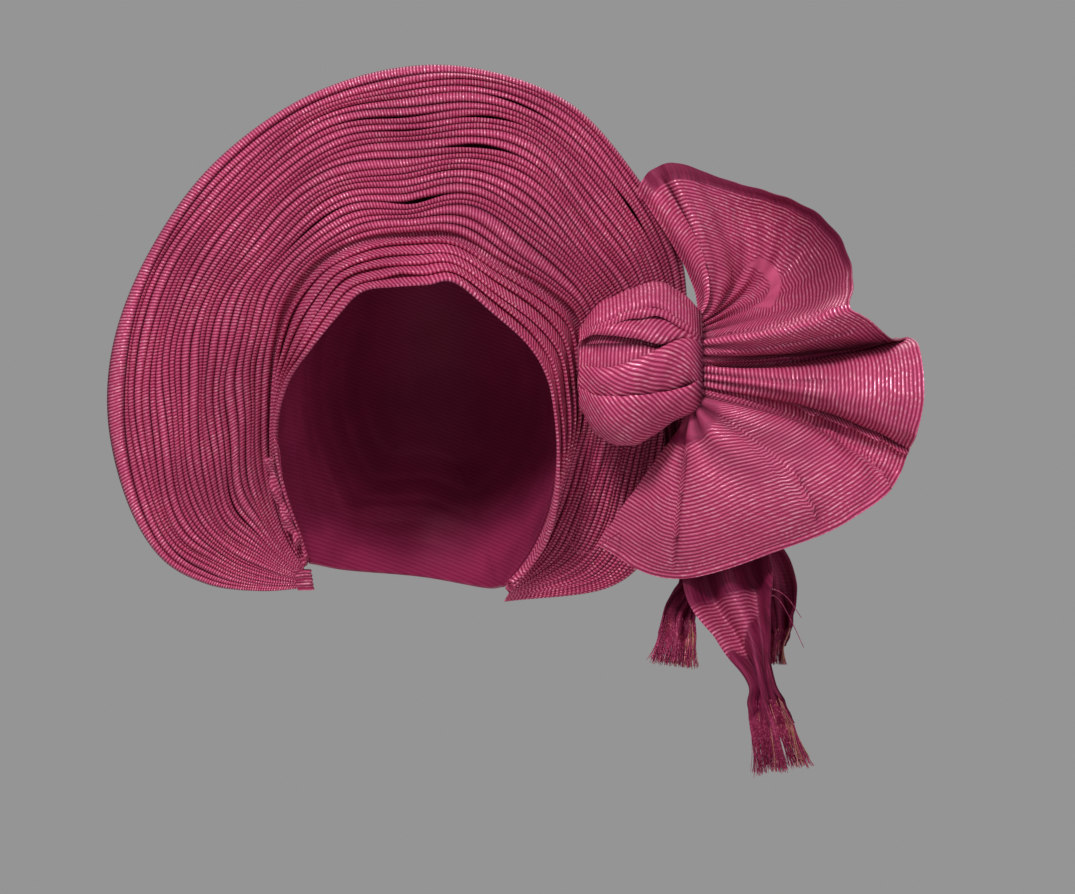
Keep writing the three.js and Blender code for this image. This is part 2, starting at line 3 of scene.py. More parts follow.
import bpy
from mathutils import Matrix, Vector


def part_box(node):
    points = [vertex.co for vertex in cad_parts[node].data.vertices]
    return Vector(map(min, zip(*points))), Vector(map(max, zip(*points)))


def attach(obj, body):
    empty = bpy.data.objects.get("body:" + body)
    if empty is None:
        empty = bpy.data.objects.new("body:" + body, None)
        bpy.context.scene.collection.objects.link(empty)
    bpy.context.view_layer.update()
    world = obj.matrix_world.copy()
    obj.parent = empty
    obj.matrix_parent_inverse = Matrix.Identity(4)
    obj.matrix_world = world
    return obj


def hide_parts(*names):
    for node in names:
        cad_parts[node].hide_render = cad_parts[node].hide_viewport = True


bl_info = {
    "name": "Tied Gele",
    "version": (1, 0, 0),
    "blender": (4, 5, 0),
    "location": "3D View > Sidebar > Gele",
    "description": "Pleated, wound and knotted striped cloth with fringed ends",
    "category": "Add Mesh",
}

import math
from types import SimpleNamespace

import bpy
import numpy as np
from bpy.props import FloatProperty, FloatVectorProperty, IntProperty, PointerProperty

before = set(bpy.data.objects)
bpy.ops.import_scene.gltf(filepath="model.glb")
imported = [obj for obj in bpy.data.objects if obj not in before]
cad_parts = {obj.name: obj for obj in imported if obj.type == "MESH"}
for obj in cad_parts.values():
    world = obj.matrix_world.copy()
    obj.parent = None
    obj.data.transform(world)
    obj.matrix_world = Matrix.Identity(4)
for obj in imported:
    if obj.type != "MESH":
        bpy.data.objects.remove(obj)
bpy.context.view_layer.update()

# Sizes of the tied form, in metres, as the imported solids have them
OPENING_HALF_WIDTH = 0.075
OPENING_HALF_HEIGHT = 0.105
HOLLOW_HALF_DEPTH = 0.097
HALO_HALF_WIDTH = 0.168
HALO_HEIGHT = 0.184
HALO_SETBACK = 0.020
CLEARANCE = 0.0004
BAND_FOLDS = 5
BAND_WALL = 0.0012
BAND_TUCK = 0.35
BAND_LIFT = (BAND_WALL + 0.00075) * (1 + BAND_TUCK)
FAN_LIFT = 0.0038
WRAP_WALL = 0.002
WRAP_LAP = 0.03
FAN_TUCK = (0.80, 0.93)
WRAP_TUCK = 0.75
WRAP_FOLDS = 8
WRAP_SETTLE = 0.4
FRONT_SHARE = 0.73
KNOT_HEIGHT = 0.078
KNOT_THICKNESS = 0.050
KNOT_LAP = 0.06
KNOT_LEAN = 0.2
KNOT_PLEAT_CLEARANCE = 0.0059
NECK_LEAN = 0.05
NECK_HALF_HEIGHT = 0.0225
NECK_BULGE = 0.009
BOW_REACH = 0.112
BOW_RUFFLE = 0.040
BOW_START = -0.0035
TAIL_LENGTH = 0.185
TAIL_WIDTH = 0.046
TAIL_CURL = 0.22
FRINGE_LENGTH = 0.024
TIE_RADIUS = 0.0032
TAB_RADIUS = 0.0031
OPENING_SIZE = np.array((OPENING_HALF_WIDTH, HOLLOW_HALF_DEPTH, OPENING_HALF_HEIGHT))
HALO_SIZE = np.array((HALO_HALF_WIDTH, HALO_SETBACK, HALO_HEIGHT))

# How far the cloth's folds and unevenness stand out of its smooth form, in metres
PLEAT_SINK = 0.0006
SLIT_DEPTH = 0.0035
FOLD_SAG = 0.0007
FOLD_GAP = 0.0016
WRAP_FOLD = 0.0009
WRAP_SAG = 0.0008
CORE_SINK = 0.0035
KNOT_CRUMPLE = 0.0005
BOW_GATHER = 0.0014
BOW_SWAY = 0.0013
BOW_CRUMPLE = 0.0005
HEM_RISE = 0.0004
HEM_SEAM = 0.0005
TAIL_PLEAT = 0.0010
TAIL_CRUMPLE = 0.0013

# The cloth's satin rim, the broken lengths of its metallic wefts and its threads, in metres
SATIN_RIM = 0.0075
DASH_LENGTH = 0.0022
THREAD_RADIUS = 0.0003

# The halo, one row per station round the opening from the left gather over the top to the right
# gather. Columns: front edge x y z, fan root x y z and fan rim x y z. The edge and the root are
# shares of the opening's half width, the hollow's half depth and the opening's half height, and
# the rim is in shares of the halo's half width, its setback and its height.
HALO_ROWS = {
    "left_gather": (-0.84, 0.08, -0.71, -0.86, 0.12, -0.76, -0.39, 0.80, -0.50),
    "left_low_1": (-0.90, 0.05, -0.57, -0.97, 0.11, -0.64, -0.54, 0.95, -0.51),
    "left_low_2": (-0.97, -0.02, -0.40, -1.05, 0.09, -0.44, -0.71, 1.05, -0.49),
    "left_low_3": (-1.02, -0.12, -0.22, -1.08, 0.05, -0.24, -0.86, 1.05, -0.41),
    "left_side_1": (-1.02, -0.25, -0.05, -1.08, -0.02, -0.03, -0.965, 0.90, -0.24),
    "left_side_2": (-0.92, -0.41, 0.16, -1.06, -0.10, 0.19, -1.02, 0.70, 0.00),
    "left_side_3": (-0.75, -0.56, 0.32, -1.02, -0.20, 0.38, -0.99, 0.45, 0.24),
    "left_rise": (-0.57, -0.66, 0.47, -0.93, -0.29, 0.57, -0.87, 0.20, 0.49),
    "left_crown": (-0.41, -0.72, 0.58, -0.73, -0.38, 0.74, -0.68, -0.05, 0.72),
    "top_left": (-0.20, -0.78, 0.60, -0.44, -0.45, 0.84, -0.41, -0.30, 0.90),
    "top_middle": (0.03, -0.80, 0.61, -0.11, -0.51, 0.87, -0.12, -0.50, 0.99),
    "top_peak": (0.20, -0.80, 0.62, 0.20, -0.53, 0.86, 0.16, -0.60, 0.99),
    "top_right": (0.44, -0.77, 0.48, 0.49, -0.51, 0.74, 0.45, -0.50, 0.89),
    "right_crown": (0.68, -0.68, 0.33, 0.81, -0.42, 0.61, 0.66, -0.25, 0.68),
    "knot_top": (0.81, -0.58, 0.18, 1.01, -0.33, 0.48, 0.79, 0.00, 0.48),
    "knot_middle": (0.86, -0.48, 0.00, 1.06, -0.26, 0.26, 0.82, 0.15, 0.27),
    "knot_bottom": (0.88, -0.39, -0.20, 1.06, -0.19, 0.02, 0.83, 0.25, 0.05),
    "right_low_1": (0.86, -0.26, -0.43, 0.95, -0.07, -0.24, 0.80, 0.40, -0.16),
    "right_low_2": (0.79, -0.10, -0.62, 0.86, 0.01, -0.47, 0.72, 0.65, -0.37),
    "right_low_3": (0.68, -0.01, -0.75, 0.73, 0.07, -0.68, 0.57, 0.85, -0.50),
    "right_gather": (0.56, 0.03, -0.83, 0.54, 0.10, -0.88, 0.24, 0.75, -0.54),
}

# The wrap's lower back edge, from right to left, in the same shares as the halo's edge.
BACK_HEM_ROWS = ((0.40, 0.36, -0.89), (-0.08, 0.62, -0.84), (-0.62, 0.42, -0.80))

# A flat fold's section: the share of its width from the inner edge and the height over its
# surface in rolls, from the hem turned under it, round the rolled edge and out across its top.
FOLD_SECTION = (
    (0.16, -0.9), (0.06, -0.9), (0.00, -0.6), (-0.025, 0.1), (0.0, 0.75), (0.04, 0.85),
    (0.10, 0.55), (0.18, 0.30), (0.28, 0.18), (0.40, 0.12), (0.55, 0.08), (0.70, 0.04),
    (0.82, 0.02), (0.92, 0.0), (1.0, 0.0),
)

# Narrow dark gaps between pleats: middle x in shares of the halo's half width, middle z and half
# length in shares of its height, and how far the pleats part as a share of their width.
# The slits' darkness is painted shade, laid on in the fan's mask. How far they part is in the shape.
SLIT_ROWS = (
    (0.20, 0.84, 0.065, 0.9),
    (0.15, 0.76, 0.071, 1.0),
    (-0.02, 0.60, 0.054, 1.0),
    (-0.37, 0.52, 0.109, 0.7),
    (-0.12, 0.86, 0.109, 0.5),
    (-0.07, 0.81, 0.076, 0.5),
    (0.64, 0.59, 0.060, 1.0),
    (0.27, 0.89, 0.076, 0.5),
    (-0.60, -0.30, 0.163, 0.6),
    (-0.51, -0.46, 0.163, 0.7),
)

# Wider pleats: number of the pleat from the root, how much wider, and the middle and half length
# of its wide part as shares of the halo's length.
WIDE_PLEATS = ((-1, 1.5, 0.27, 0.13), (5, 0.9, 0.20, 0.10), (2, 0.8, 0.62, 0.08))
NARROWEST_PLEAT = 0.35

# The knot, one row per section from the fan's root to the neck. Columns: middle height and half
# height in shares of KNOT_HEIGHT, then front and back depth in shares of KNOT_THICKNESS.
KNOT_ROWS = (
    (-0.02, 0.24, 0.16, 0.18),
    (-0.03, 0.42, 0.36, 0.30),
    (-0.03, 0.48, 0.46, 0.44),
    (0.01, 0.50, 0.50, 0.49),
    (0.06, 0.47, 0.46, 0.50),
    (0.07, 0.39, 0.36, 0.40),
    (0.03, 0.31, 0.24, 0.26),
)

# The cloth folds wound over the knot's front. Upper and lower edges: the height at each section
# of the knot from tip to neck, as a share of the section's half height. Then how far each edge
# stands off and how far the fold puffs, in shares of the knot's thickness, and the slant of its
# wefts in degrees.
KNOT_FOLDS = {
    "recess": (
        (0.60, 0.42, 0.36, 0.24, 0.12, 0.20, 0.30),
        (-0.10, -0.20, -0.16, -0.14, -0.11, 0.02, 0.16),
        -0.060, -0.068, 0.032, 5),
    "lens_low": (
        (0.84, 0.68, 0.70, 0.66, 0.58, 0.48, 0.42),
        (0.69, 0.52, 0.43, 0.29, 0.15, 0.24, 0.32),
        -0.048, 0.020, 0.044, 35),
    "lens_high": (
        (0.92, 0.80, 0.82, 0.80, 0.72, 0.62, 0.56),
        (0.74, 0.57, 0.62, 0.56, 0.50, 0.39, 0.34),
        -0.040, 0.032, 0.040, 15),
    "crown_fold": (
        (1.00, 1.00, 1.00, 1.00, 1.00, 1.00, 1.00),
        (0.80, 0.63, 0.68, 0.66, 0.60, 0.48, 0.45),
        0.004, 0.052, 0.044, 0),
    "front_band": (
        (0.05, 0.00, 0.04, 0.06, 0.09, 0.22, 0.34),
        (-0.62, -0.50, -0.46, -0.50, -0.58, -0.62, -0.48),
        0.044, -0.024, 0.048, -56),
    "low_band": (
        (-0.51, -0.39, -0.36, -0.40, -0.49, -0.53, -0.39),
        (-1.00, -1.00, -1.00, -1.00, -1.00, -1.00, -1.00),
        0.052, 0.024, 0.044, -45),
}

# The bow, one row per radial fold from the scoop's left edge over the top to the lower panel.
# Columns: hem x z and forward, then mid-fold x z and forward. The x and z columns are shares of
# BOW_REACH from the neck and the forward columns are shares of BOW_RUFFLE.
BOW_ROWS = {
    "scoop_edge": (-0.29, 0.82, -0.78, -0.05, 0.42, -0.50),
    "scoop_corner": (-0.23, 0.91, -0.70, 0.01, 0.46, -0.30),
    "scoop_roll": (-0.11, 0.95, -0.60, 0.08, 0.46, -0.45),
    "scoop_back_1": (0.12, 0.88, -0.80, 0.20, 0.48, -0.90),
    "scoop_back_2": (0.37, 0.82, -0.95, 0.31, 0.46, -1.10),
    "scoop_back_3": (0.57, 0.71, -0.95, 0.39, 0.40, -1.10),
    "scoop_turn": (0.69, 0.54, -0.65, 0.42, 0.32, -0.80),
    "lip_rise": (0.71, 0.38, -0.05, 0.40, 0.23, -0.20),
    "lip_crest": (0.67, 0.26, 0.60, 0.34, 0.16, 0.50),
    "lip_under": (0.77, 0.20, 0.45, 0.35, 0.09, 0.30),
    "valley_top": (0.88, 0.13, -0.05, 0.40, 0.05, -0.15),
    "valley": (0.97, 0.13, -0.35, 0.42, 0.02, -0.30),
    "wing_top": (1.01, 0.07, 0.00, 0.45, -0.02, 0.05),
    "wing": (1.02, -0.14, 0.30, 0.50, -0.10, 0.25),
    "wing_low": (0.99, -0.32, 0.20, 0.53, -0.17, 0.20),
    "tuck_top": (0.97, -0.39, -0.20, 0.54, -0.22, -0.10),
    "tuck": (0.92, -0.52, -0.25, 0.54, -0.28, -0.20),
    "tuck_low": (0.83, -0.62, 0.10, 0.52, -0.34, 0.20),
    "panel_right": (0.63, -0.74, 0.20, 0.38, -0.46, 0.35),
    "panel_1": (0.40, -0.84, 0.10, 0.21, -0.54, 0.35),
    "panel_2": (0.12, -0.95, -0.10, 0.04, -0.60, 0.25),
    "panel_crease": (-0.11, -0.99, -0.40, -0.10, -0.60, 0.05),
    "panel_left": (-0.29, -0.94, -0.65, -0.17, -0.55, -0.15),
    "panel_edge": (-0.48, -0.84, -0.85, -0.24, -0.49, -0.40),
}

# Creases pressed across the bow: place round it at the neck and at the hem, where the crease
# starts and ends on the way out, its half width round the bow, and its depth in shares of
# BOW_RUFFLE.
BOW_CREASES = (
    (0.050, 0.055, 0.05, 0.95, 0.012, -0.085),
    (0.100, 0.130, 0.00, 0.45, 0.014, -0.040),
    (0.320, 0.345, 0.05, 0.98, 0.012, 0.065),
    (0.390, 0.400, 0.10, 0.90, 0.012, 0.030),
    (0.480, 0.475, 0.05, 0.90, 0.012, -0.115),
    (0.560, 0.545, 0.05, 0.60, 0.010, 0.045),
    (0.640, 0.655, 0.35, 1.00, 0.010, 0.100),
    (0.690, 0.720, 0.45, 0.96, 0.012, 0.085),
    (0.760, 0.800, 0.50, 0.90, 0.014, 0.030),
    (0.905, 0.915, 0.20, 0.92, 0.010, 0.040),
)
# The crease depth, in shares of BOW_RUFFLE, from which the painted shade on a crease's low side is
# darkest. Then the share of the way out over which each crease fades in and out.
DARKEST_CREASE = 0.08
CREASE_FADE = 0.12

# The smooth crescent in the scoop, as shares of the way round the bow and of the way out from
# the neck: its middle, and how far its two slanting axes reach in each direction.
SCOOP_PATCH_MIDDLE = (0.20, 0.42)
SCOOP_PATCH_DOWN = (0.084, 0.35)
SCOOP_PATCH_RIGHT = (0.043, 0.090)

# The tails, one row per section from the knot down to the fringe. Columns: x and z from the neck
# and y forward of it in shares of TAIL_LENGTH, half width in shares of TAIL_WIDTH, and the turn
# of the width about the tail's line in quarter turns.
TAIL_ROWS = {
    "tail_front": (
        (-0.016, -0.104, -0.052, 0.10, 0.0),
        (0.04, -0.34, -0.11, 0.38, 0.1),
        (0.08, -0.59, -0.10, 0.52, 0.1),
        (0.13, -0.74, -0.06, 0.36, 0.3),
        (0.17, -0.87, -0.02, 0.22, 0.6),
        (0.19, -0.95, -0.02, 0.24, 0.4),
        (0.205, -1.01, -0.03, 0.26, 0.2),
    ),
    "tail_side": (
        (-0.085, -0.134, -0.080, 0.08, 0.2),
        (-0.05, -0.40, -0.20, 0.14, 0.2),
        (-0.01, -0.60, -0.23, 0.17, 0.1),
        (-0.05, -0.70, -0.22, 0.18, 0.0),
        (-0.06, -0.77, -0.21, 0.22, 0.0),
    ),
    "tail_back": (
        (-0.030, -0.08, -0.09, 0.08, 0.2),
        (0.13, -0.42, -0.24, 0.22, 0.3),
        (0.22, -0.60, -0.26, 0.26, 0.2),
        (0.235, -0.73, -0.25, 0.22, 0.4),
        (0.23, -0.80, -0.24, 0.13, 0.5),
    ),
}

# Loose threads, each through a few points: x, y and z in shares of the opening's half width, the
# hollow's half depth and the opening's half height.
THREAD_ROUTES = (
    ((-1.067, -0.207, -0.122), (-1.029, -0.227, -0.190), (-1.020, -0.191, -0.340),
     (-1.020, -0.139, -0.500)),
    ((1.348, -0.230, -0.590), (1.247, -0.309, -0.633), (1.149, -0.340, -0.680),
     (1.053, -0.351, -0.680), (0.973, -0.351, -0.590)),
    ((2.345, -0.325, -0.876), (2.420, -0.335, -0.871), (2.509, -0.351, -0.910),
     (2.609, -0.330, -1.010)),
    ((2.345, -0.328, -0.900), (2.440, -0.325, -0.910), (2.529, -0.310, -1.010),
     (2.629, -0.290, -1.160)),
)

# The fringe's length at each tail as a share of FRINGE_LENGTH
FRINGE_SHARES = {"tail_front": 1.0, "tail_side": 0.65, "tail_back": 0.4}

# The stage, in metres. Each light has its place, its size and the setting with its power.
FLOOR_DROP = 0.19
FLOOR_RADIUS = 0.9
LIGHTS = {
    "key_light": ((-0.55, -1.7, 1.45), 0.45, "key_power"),
    "fill_light": ((1.6, -1.7, 0.3), 1.4, "fill_power"),
    "rim_light": ((0.3, 1.2, 1.6), 1.0, "rim_power"),
}
LIGHT_TARGET = (0.05, 0, 0)
WORLD_STRENGTH = 0.30
CAMERA_X = 0.058
CAMERA_Z = -0.017
SENSOR_WIDTH = 36

# Colours that aren't settings
SATIN_SHADE = (0.10, 0.004, 0.022, 1)
GLOSS_TINT = (1.0, 0.38, 0.55, 1)
FLOOR_GRAIN = (0.5, 0.5, 0.5, 1)

# Mesh fineness
PLEAT_PHASES = (0, 0.05, 0.14, 0.28, 0.5, 0.72, 0.86, 0.95, 1)
PLEAT_ROUNDNESS = 1.8
FAN_COLUMNS = 230
BAND_COLUMNS = 240
WRAP_COLUMNS = 260
WRAP_LINES = 90
BOW_COLUMNS = 400
BOW_LINES = 84
TAIL_COLUMNS = 40
TAIL_LINES = 120


class GeleCloth(bpy.types.PropertyGroup):
    """The cloth's colours and weave."""

    ground: FloatVectorProperty(
        name="Ground", description="Colour of the cloth between its wefts", subtype="COLOR",
        size=4, min=0, max=1, default=(0.31, 0.018, 0.076, 1))
    thread: FloatVectorProperty(
        name="Thread", description="Colour of the raised wefts", subtype="COLOR",
        size=4, min=0, max=1, default=(0.64, 0.105, 0.225, 1))
    # Partly the metal flecks' own colour and partly a painted glint.
    glint: FloatVectorProperty(
        name="Glint", description="Colour of the wefts' metallic flecks", subtype="COLOR",
        size=4, min=0, max=1, default=(0.98, 0.40, 0.53, 1))
    satin: FloatVectorProperty(
        name="Satin", description="Colour of the plain reverse", subtype="COLOR",
        size=4, min=0, max=1, default=(0.30, 0.018, 0.082, 1))
    gold: FloatVectorProperty(
        name="Gold", description="Colour of the few gold threads in the fringe", subtype="COLOR",
        size=4, min=0, max=1, default=(0.50, 0.24, 0.12, 1))
    weft_pitch: FloatProperty(
        name="Weft pitch", description="Distance from one weft to the next",
        unit="LENGTH", subtype="DISTANCE", min=0.0005, default=0.0021)
    rib_pitch: FloatProperty(
        name="Pleat weft pitch", description="Distance between the wefts that cross a pleat",
        unit="LENGTH", subtype="DISTANCE", min=0.0005, default=0.0017)
    weft_height: FloatProperty(
        name="Weft height", description="How far a weft stands out of the cloth",
        unit="LENGTH", subtype="DISTANCE", min=0, default=0.0003)
    thickness: FloatProperty(
        name="Thickness", description="Thickness of one layer of cloth",
        unit="LENGTH", subtype="DISTANCE", min=0.0002, default=0.0007)


class GeleForm(bpy.types.PropertyGroup):
    """Sizes of the cloth's pleats, folds and fringe."""

    pleats: IntProperty(
        name="Pleats", description="Number of pleats in the fan", min=4, default=23)
    pleat_depth: FloatProperty(
        name="Pleat depth", description="Depth of a pleat from crest to groove",
        unit="LENGTH", subtype="DISTANCE", min=0.001, default=0.0056)
    fold_roll: FloatProperty(
        name="Fold roll", description="Radius of the rounded edge of a flat fold",
        unit="LENGTH", subtype="DISTANCE", min=0.0001, default=0.0008)
    hem_width: FloatProperty(
        name="Hem width", description="Width of the hem along the bow's edge",
        unit="LENGTH", subtype="DISTANCE", min=0.001, default=0.0045)
    strands: IntProperty(
        name="Fringe strands", description="Threads in the front tail's fringe", min=10, default=420)
    strand_radius: FloatProperty(
        name="Strand radius", description="Radius of one thread of the fringe",
        unit="LENGTH", subtype="DISTANCE", min=0.00005, default=0.00026)


class GeleStudio(bpy.types.PropertyGroup):
    """The floor, the lights and the camera."""

    floor_colour: FloatVectorProperty(
        name="Floor colour", description="Colour of the floor", subtype="COLOR",
        size=4, min=0, max=1, default=(0.62, 0.61, 0.60, 1))
    key_power: FloatProperty(
        name="Key light", description="Power of the light from the upper front",
        subtype="POWER", min=0, default=38)
    fill_power: FloatProperty(
        name="Fill light", description="Power of the light from the right front",
        subtype="POWER", min=0, default=7)
    rim_power: FloatProperty(
        name="Rim light", description="Power of the light from above and behind",
        subtype="POWER", min=0, default=14)
    camera_distance: FloatProperty(
        name="Camera distance", description="Distance of the camera from the middle of the form",
        unit="LENGTH", subtype="DISTANCE", min=0.5, default=2.0)
    view_width: FloatProperty(
        name="View width", description="Width of the view at the form",
        unit="LENGTH", subtype="DISTANCE", min=0.1, default=0.570)


# Curves and small helpers

def spline(rows, places):
    """A uniform Catmull-Rom spline through the rows of a table, for places from 0 to 1."""
    table = np.array(list(rows), float)
    table = np.vstack([2 * table[0] - table[1], table, 2 * table[-1] - table[-2]])
    steps = np.clip(places, 0, 1) * (len(table) - 3)
    i = np.minimum(steps.astype(int), len(table) - 4)
    f = by_vector(steps - i)
    before, here, after, last = (table[i + k] for k in range(4))
    square = 2 * before - 5 * here + 4 * after - last
    cube = 3 * here - before - 3 * after + last
    return 0.5 * (2 * here + f * (after - before + f * (square + f * cube)))


def unit(vectors):
    """The same directions with length 1."""
    return vectors / np.maximum(np.linalg.norm(vectors, axis=-1, keepdims=True), 1e-12)


def by_vector(numbers):
    """Numbers laid out so that each multiplies a vector."""
    return np.asarray(numbers)[..., None]


def mix(low, high, share):
    return low + (high - low) * share


def bump(value, middle, half_width):
    """A smooth hill of height 1."""
    return np.exp(-((value - middle) / half_width) ** 2)


def step_up(value, start, end):
    """0 below start, 1 above end, and smooth between."""
    x = np.clip((value - start) / (end - start), 0, 1)
    return x * x * (3 - 2 * x)


def inside(value, margin):
    """1 over most of the way from 0 to 1, and smoothly down to 0 at both ends."""
    return step_up(value, 0, margin) * step_up(1 - value, 0, margin)


def ripple(seed, u, v, u_turns, v_turns, waves=6):
    """Smooth seeded unevenness between about -1 and 1."""
    rng = np.random.default_rng(seed)
    total = np.zeros(np.broadcast(u, v).shape)
    for _ in range(waves):
        turn_u, turn_v = rng.uniform(0.25, 1, 2) * rng.choice((-1, 1), 2) * (u_turns, v_turns)
        total += np.sin(2 * np.pi * (turn_u * u + turn_v * v + rng.uniform()))
    return total / math.sqrt(2 * waves)


def surface_normals(points):
    """Unit normals of a grid of points."""
    along = np.gradient(points, axis=1)
    across = np.gradient(points, axis=0)
    return unit(np.cross(along, across))


def running_length(points, axis):
    """Distance along each line of a grid of points."""
    steps = np.linalg.norm(np.diff(points, axis=axis), axis=-1)
    start = np.zeros_like(np.take(steps, [0], axis=axis))
    return np.cumsum(np.concatenate([start, steps], axis=axis), axis=axis)


# Making and finishing pieces

def cloth_grid(name, columns, lines, shape, weave, relief=None, masks=None):
    """Adds a grid and shapes it.

    shape(u, v) gives the places, relief(u, v) the distance out of that surface, weave(net) the
    distance across the wefts and along them, and masks name values from 0 to 1 over the cloth.
    """
    u, v = np.meshgrid(np.linspace(0, 1, columns + 1), np.linspace(0, 1, lines + 1))
    points = shape(u, v)
    if relief is not None:
        points = points + by_vector(relief(u, v)) * surface_normals(points)
    bpy.ops.object.select_all(action="DESELECT")
    bpy.ops.mesh.primitive_grid_add(x_subdivisions=columns, y_subdivisions=lines, size=1)
    piece = bpy.context.active_object
    piece.name = piece.data.name = name
    mesh = piece.data
    flat = np.empty(3 * len(mesh.vertices))
    mesh.vertices.foreach_get("co", flat)
    place = flat.reshape(-1, 3)[:, :2] + 0.5
    i = np.rint(place[:, 0] * columns).astype(int)
    j = np.rint(place[:, 1] * lines).astype(int)
    mesh.vertices.foreach_set("co", points[j, i].ravel())
    corner = np.empty(len(mesh.loops), dtype=np.int32)
    mesh.loops.foreach_get("vertex_index", corner)
    net = SimpleNamespace(
        i=i[corner], j=j[corner], face_i=i[corner].reshape(-1, 4).min(axis=1).repeat(4),
        face_j=j[corner].reshape(-1, 4).min(axis=1).repeat(4),
        along=running_length(points, 1), across=running_length(points, 0), points=points)
    mesh.uv_layers.active.data.foreach_set("uv", np.column_stack(weave(net)).ravel())
    for label, mask in (masks or {}).items():
        layer = mesh.attributes.new(label, "FLOAT", "POINT")
        layer.data.foreach_set("value", np.clip(mask(u, v), 0, 1)[j, i].ravel())
    mesh.update()
    return piece


def weave_across_columns(scale=1.0, slant=0.0, line=None):
    """Wefts that cross the cloth from line to line, straight or slanted by some degrees."""
    def weave(net):
        row = net.along.shape[0] // 2 if line is None else line(net)
        along = net.along[row, net.i] - net.along[row, net.along.shape[1] // 2]
        across = net.across[net.j, net.i]
        turn = math.radians(slant)
        return (along * math.cos(turn) + across * math.sin(turn)) * scale, across * scale
    return weave


def weave_along_columns(net):
    """Wefts that run along the cloth, side by side from its last line inwards."""
    depth = net.across[-1, net.i] - net.across[net.j, net.i]
    return depth, net.along[net.j, net.i]


def activate(piece):
    bpy.ops.object.select_all(action="DESELECT")
    piece.select_set(True)
    bpy.context.view_layer.objects.active = piece


def merge_seam(piece, distance=0.00002):
    """Joins the edges that meet at a seam or a pole."""
    activate(piece)
    bpy.ops.object.mode_set(mode="EDIT")
    bpy.ops.mesh.select_all(action="SELECT")
    bpy.ops.mesh.remove_doubles(threshold=distance)
    bpy.ops.mesh.normals_make_consistent(inside=False)
    bpy.ops.object.mode_set(mode="OBJECT")


def face_front(piece, direction=(0, -1, 0)):
    """Turns an open sheet's faces so that its right side looks in a direction."""
    mesh = piece.data
    normals = np.empty(3 * len(mesh.polygons))
    mesh.polygons.foreach_get("normal", normals)
    if normals.reshape(-1, 3).mean(axis=0) @ np.array(direction, float) < 0:
        mesh.flip_normals()


def give_thickness(piece, layers=1, right_side="Striped cloth", reverse="Satin reverse"):
    """Gives an open sheet its thickness, with one finish on its right side and edges."""
    activate(piece)
    for finish in (right_side, reverse):
        piece.data.materials.append(shared_material(finish))
    solid = piece.modifiers.new("Thickness", "SOLIDIFY")
    solid.thickness = bpy.context.scene.gele_cloth.thickness * layers
    solid.offset = 0
    solid.material_offset = 1
    bpy.ops.object.modifier_apply(modifier=solid.name)
    bpy.ops.object.shade_smooth_by_angle(angle=math.radians(60))


def seat(piece, nodes):
    """Ties a piece to the part's body and hides the solids it stands for."""
    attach(piece, "root")
    if nodes:
        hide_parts(*nodes)


def finish_roll(piece, node):
    """Closes a rolled piece and gives it its cloth."""
    merge_seam(piece)
    piece.data.materials.append(shared_material("Striped cloth"))
    bpy.ops.object.shade_smooth()
    seat(piece, [node])


def strands(name, paths, radius, finish):
    """Thin round threads along lists of points, thinner at their ends, joined in one mesh."""
    bpy.ops.object.select_all(action="DESELECT")
    curve = bpy.data.curves.new(name, "CURVE")
    curve.dimensions = "3D"
    curve.bevel_depth = radius
    curve.bevel_resolution = 0
    curve.use_fill_caps = True
    for path in paths:
        thread = curve.splines.new("POLY")
        thread.points.add(len(path) - 1)
        rows = np.column_stack([path, np.ones(len(path))])
        thread.points.foreach_set("co", rows.ravel())
        thread.points.foreach_set("radius", np.linspace(1, 0.55, len(path)))
    piece = bpy.data.objects.new(name, curve)
    bpy.context.collection.objects.link(piece)
    activate(piece)
    bpy.ops.object.convert(target="MESH")
    piece = bpy.context.active_object
    piece.data.materials.clear()
    piece.data.materials.append(shared_material(finish))
    bpy.ops.object.shade_smooth()
    return piece


# Materials

def new_material(name):
    material = bpy.data.materials.new(name)
    material.use_nodes = True
    tree = material.node_tree
    shader = tree.nodes["Principled BSDF"]
    return material, tree, shader


def put(socket, value):
    """Links a node's output to a socket, or sets the socket to a plain value."""
    if isinstance(value, bpy.types.NodeSocket):
        socket.id_data.links.new(value, socket)
    else:
        socket.default_value = value


def calc(tree, operation, *values):
    node = tree.nodes.new("ShaderNodeMath")
    node.operation = operation
    for socket, value in zip(node.inputs, values):
        put(socket, value)
    return node.outputs[0]


def blend_colour(tree, share, low, high):
    node = tree.nodes.new("ShaderNodeMix")
    node.data_type = "RGBA"
    put(node.inputs["Factor"], share)
    put(node.inputs["A"], low)
    put(node.inputs["B"], high)
    return node.outputs["Result"]


def remap(tree, value, low, high, to_low=0.0, to_high=1.0):
    node = tree.nodes.new("ShaderNodeMapRange")
    node.interpolation_type = "SMOOTHSTEP"
    for socket, number in zip(node.inputs, (value, low, high, to_low, to_high)):
        put(socket, number)
    return node.outputs[0]


def noise(tree, vector, scale, detail=2.0):
    node = tree.nodes.new("ShaderNodeTexNoise")
    put(node.inputs["Vector"], vector)
    put(node.inputs["Scale"], scale)
    put(node.inputs["Detail"], detail)
    return node.outputs[0]


def object_coordinates(tree):
    return tree.nodes.new("ShaderNodeTexCoord").outputs["Object"]


def attribute(tree, name):
    """A mask that the mesh carries, or 0 where it has none."""
    node = tree.nodes.new("ShaderNodeAttribute")
    node.attribute_name = name
    return node.outputs["Fac"]


def weave_place(tree):
    """The distance across the wefts, the distance along them and both in one vector."""
    weave = tree.nodes.new("ShaderNodeUVMap").outputs["UV"]
    split = tree.nodes.new("ShaderNodeSeparateXYZ")
    put(split.inputs[0], weave)
    return split.outputs[0], split.outputs[1], weave


